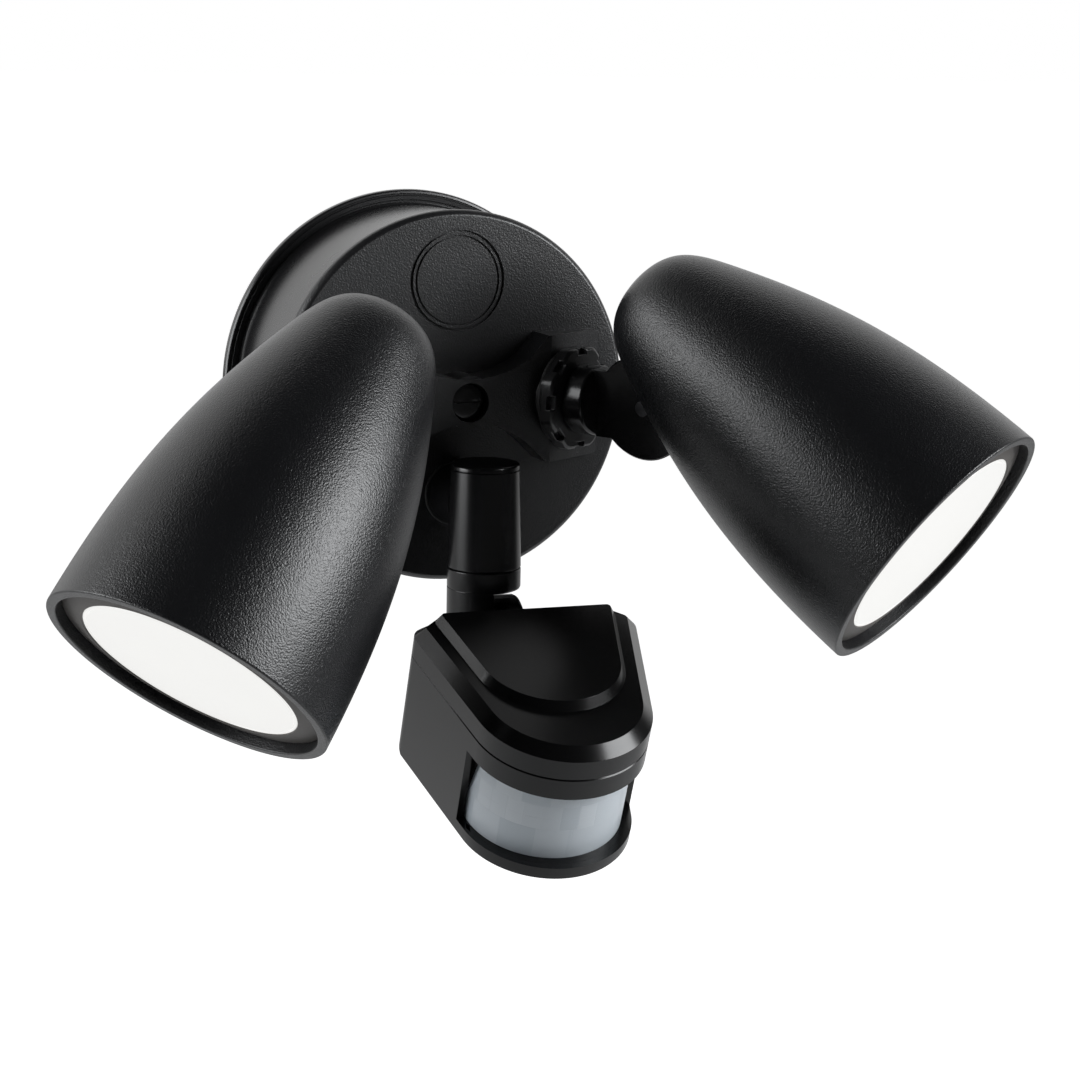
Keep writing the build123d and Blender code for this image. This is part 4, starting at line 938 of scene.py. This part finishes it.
def makeSensorBody():
    v = headValues
    x0, bottom, seam, wall = v["shift"], v["bottom"], v["seam"], v["wall"]
    body = stacked("sensorCase", [headLoop(bottom, 0.7), headLoop(bottom + 0.25, 0.25),
                                  headLoop(bottom + 0.7, 0), headLoop(seam - 0.35, 0), headLoop(seam, 0.35)])
    cut(body, heelTool("heel", 0))
    hollow = stacked("hollow", [headLoop(v["floor"], wall), headLoop(seam + 1, wall)])
    cut(hollow, heelTool("innerHeel", wall))
    cut(body, hollow)
    low, high = v["window"]
    cut(body, block("windowTool", -100, 100, -130, -v["windowStart"], low, high))
    lensRadius, lensY = v["lens"]
    for z0, z1 in ((high, high + 2.0), (low - 2.0, low)):
        ledge = stacked("ledge", [headLoop(z0, wall - 0.08), headLoop(z1, wall - 0.08)])
        cut(ledge, post("ledgeHole", lensRadius - 3.0, -40, 10, x0, lensY, 96),
            block("ledgeEnd", -100, 100, -56.8, 0, -40, 20),
            post("lensRoom", lensRadius + 0.1, low - 1.2, high + 1.2, x0, lensY, 128))
        added(body, ledge)
    radius, aside, back = v["boss"]
    for side in (-1, 1):
        boss = post("boss", radius, v["floor"] - 0.5, seam, x0 + side * aside, -back)
        cut(boss, heelTool("bossHeel", wall))
        added(body, boss)
        cut(body, post("screwWay", 1.6, -31, 10, x0 + side * aside, -back, 32),
            post("screwRoom", 2.6, -31, -25.2, x0 + side * aside, -back, 32))
        peg = bar("peg", 2.6, 19.0, 30.0, 0, -4.0, 32)
        added(body, moved(peg, Matrix.Translation((x0 + side * v["pegAside"], 0, 0))))
    for i in (-1, 0, 1):
        cut(body, post("dialWay", v["dialRadius"] + 0.3, -31, -26, x0 + i * v["dialPitch"], v["dialY"]))
    lug = crossBar("headLug", [(0, 0.15), (11.4, 0.15), (11.4, 9.9), (10.9, 10.9), (9.9, 11.4),
                               (0, 11.4)], 96)
    added(lug, block("lugNeck", 0.15, 10.4, -17.8, 0, -8.5, 8.5))
    cut(lug, rod("lugBore", 2.08, -1, 13), pulled("nutPocket", hexagon(*v["nutPocket"]), (5, 0, 0)))
    added(body, lug)
    return softened(body, 0.35, 2, 30)


def makeSensorCover():
    v = headValues
    h, seam = v["hood"], v["seam"]
    cover = stacked("sensorCover", [headLoop(seam, 0.35), headLoop(seam + 0.35, 0), headLoop(v["sideTop"], 0),
                                    headLoop(v["plateTop"], v["bevel"]), hoodLoop(v["plateTop"], 0),
                                    hoodLoop(v["plateTop"] + h["rise"], h["bevel"])])
    hollow = stacked("coverHollow", [headLoop(seam - 1, v["wall"]), headLoop(v["ceiling"], v["wall"])])
    cut(cover, hollow)
    radius, aside, back = v["boss"]
    for side in (-1, 1):
        added(cover, post("boss", radius, seam, v["ceiling"] + 0.25, v["shift"] + side * aside, -back))
        cut(cover, post("screwWay", 1.3, 7, 15.4, v["shift"] + side * aside, -back, 32))
    return softened(cover, 0.5, 3, 24)


sensorCase = makeSensorBody()
# the faces turned to either side get the painted sheen finish
faceFinish(sensorCase, 1, lambda face: abs(face.normal.x) > 0.6 and abs(face.normal.z) < 0.2)
placed(sensorCase, headPlace, [satinBlack, paintedSheenSidePanel], "sensor_head", "sensor_body")
sensorCover = makeSensorCover()
faceFinish(sensorCover, 1, lambda face: face.center.z < headValues["rimTop"]
           or 0.45 < face.normal.z < 0.9 and face.center.z < headValues["plateTop"] - 0.05)
placed(sensorCover, headPlace, [satinBlack, satinGrain], "sensor_head", "sensor_top_cover")
print("sensor case made")

# curved lens: an arc of wall pulled upwards
lensValues = {"radius": 25.2, "wall": 1.0, "start": -179.2, "end": -0.8, "bottom": -26.0, "height": 28.8}
lensX, lensY = headValues["shift"], headValues["lens"][1]
start, end, bottom = lensValues["start"], lensValues["end"], lensValues["bottom"]
lensOutline = [(lensX + x, lensY + y, bottom) for x, y in arc(0, 0, lensValues["radius"], start, end, 72)]
lensOutline += [(lensX + x, lensY + y, bottom)
                for x, y in arc(0, 0, lensValues["radius"] - lensValues["wall"], end, start, 72)]
sensorLens = pulled("sensorWindow", lensOutline, (0, 0, lensValues["height"]))
softened(sensorLens, 0.15, 2, 40)
placed(sensorLens, headPlace, [lensFinish], "sensor_head", "sensor_lens")

# setting dials with a slot and twelve notches round the edge
dialProfile = [(0, -30.4), (3.9, -30.4), (4.35, -30.2), (4.5, -29.8), (4.5, -27.2), (4.3, -27.0),
               (1.5, -27.0), (1.5, -21.2), (0, -21.2)]
for i, word, body in ((-1, "time", "time_adjuster"), (0, "light_level", "light_level_adjuster"),
                      (1, "range", "range_adjuster")):
    dial = upright(word.split("_")[0] + "Dial", dialProfile, 48, 0, 0)
    cut(dial, block("dialSlot", -0.6, 0.6, -3.4, 3.4, -31.4, -29.0))
    for step in range(12):
        tool = block("mill", -0.25, 0.25, 4.25, 5.0, -31, -28.2)
        cut(dial, moved(tool, turn(15 + 30 * step, "Z")))
    dialPlace = (headValues["shift"] + headValues["dialPitch"] * i, headValues["dialY"], 0)
    moved(softened(dial, 0.12, 1, 40), Matrix.Translation(dialPlace))
    placed(dial, headPlace, [dialFinish], body, word + "_dial")
print("lens and dials made")

# pale floor, white surroundings and soft studio lamps
studio = {
    "floorZ": -0.62, "floorSize": 60.0, "floorColour": (0.80, 0.80, 0.80), "ambient": 0.05,
    "front": 0.015, "behind": 1.0, "above": 0.05, "lightColour": (0.97, 0.985, 1.0),
    "floorGlow": 0.97, "mirrorGlow": 0.4,
    "mirrorFade": (0.1, 0.9), "skyFade": (0.90, 0.74), "rearFade": (0.12, 0.5),
    "lamps": [
        {"name": "rightSoftbox", "turn": 51, "rise": 20, "away": 1.35, "size": (0.85, 0.75), "power": 26},
        {"name": "leftSoftbox", "turn": -100, "rise": 14, "away": 1.3, "size": (0.8, 0.95), "power": 15},
    ],
    "aim": (0.0, -0.09, -0.02),
}
letGo()
bpy.ops.mesh.primitive_plane_add(size=studio["floorSize"], location=(0, 0, studio["floorZ"]))
floor = bpy.context.object
floor.name = floor.data.name = "paleFloor"
floorMaterial, floorTree, floorShader = newMaterial("paleFloor")
floorShader.inputs["Base Color"].default_value = (*studio["floorColour"], 1)
floorShader.inputs["Roughness"].default_value = 0.9
floorShader.inputs["Specular IOR Level"].default_value = 0.0
floorShader.inputs["Emission Color"].default_value = (1, 1, 1, 1)
rays = linked(floorTree, "ShaderNodeLightPath")
seen = maths(floorTree, "MAXIMUM", rays.outputs["Is Camera Ray"], rays.outputs["Is Transmission Ray"])
glow = maths(floorTree, "MULTIPLY", seen, studio["floorGlow"])
floorPlace = linked(floorTree, "ShaderNodeTexCoord")
floorSplit = linked(floorTree, "ShaderNodeSeparateXYZ", {0: floorPlace.outputs["Object"]})
rear = linked(floorTree, "ShaderNodeMapRange", {"Value": floorSplit.outputs["Y"],
              "From Min": studio["mirrorFade"][0], "From Max": studio["mirrorFade"][1]},
              interpolation_type="SMOOTHSTEP")
mirrored = maths(floorTree, "MULTIPLY", rays.outputs["Is Glossy Ray"], rear.outputs["Result"])
mirrored = maths(floorTree, "MULTIPLY", mirrored, studio["mirrorGlow"])
glow = maths(floorTree, "MAXIMUM", glow, mirrored)
floorTree.links.new(glow, floorShader.inputs["Emission Strength"])
floor.data.materials.append(floorMaterial)

world = bpy.data.worlds.new("studio")
bpy.context.scene.world = world
world.use_nodes = True
tree = world.node_tree
sky = tree.nodes["Background"]
rays = linked(tree, "ShaderNodeLightPath")
towards = linked(tree, "ShaderNodeTexCoord")
split = linked(tree, "ShaderNodeSeparateXYZ", {0: towards.outputs["Generated"]})
below = linked(tree, "ShaderNodeMapRange", {"Value": split.outputs["Z"],
               "From Min": studio["skyFade"][0], "From Max": studio["skyFade"][1],
               "To Min": studio["above"], "To Max": studio["behind"]}, interpolation_type="SMOOTHSTEP")
behind = linked(tree, "ShaderNodeMapRange", {"Value": split.outputs["Y"],
                "From Min": studio["rearFade"][0], "From Max": studio["rearFade"][1],
                "To Min": studio["front"], "To Max": below.outputs["Result"]},
                interpolation_type="SMOOTHSTEP")
ambient = linked(tree, "ShaderNodeMix", {0: rays.outputs["Is Glossy Ray"], 2: studio["ambient"],
                 3: behind.outputs["Result"]})
seen = maths(tree, "MAXIMUM", rays.outputs["Is Camera Ray"], rays.outputs["Is Transmission Ray"])
level = linked(tree, "ShaderNodeMix", {0: seen, 2: ambient.outputs[0], 3: 1.0})
tree.links.new(level.outputs[0], sky.inputs["Strength"])
sky.inputs["Color"].default_value = (1, 1, 1, 1)

for lamp in studio["lamps"]:
    light = bpy.data.lights.new(lamp["name"], "AREA")
    light.shape = "RECTANGLE"
    light.size, light.size_y = lamp["size"]
    light.energy = lamp["power"]
    light.color = studio["lightColour"]
    holder = bpy.data.objects.new(lamp["name"], light)
    around, up = radians(lamp["turn"]), radians(lamp["rise"])
    away = Vector((sin(around) * cos(up), -cos(around) * cos(up), sin(up)))
    holder.location = Vector(studio["aim"]) + away * lamp["away"]
    holder.rotation_mode = "QUATERNION"
    holder.rotation_quaternion = away.to_track_quat("Z", "Y")
    bpy.context.scene.collection.objects.link(holder)
bpy.context.scene.view_settings.view_transform = "Standard"
print("studio lit")

bpy.context.view_layer.update()
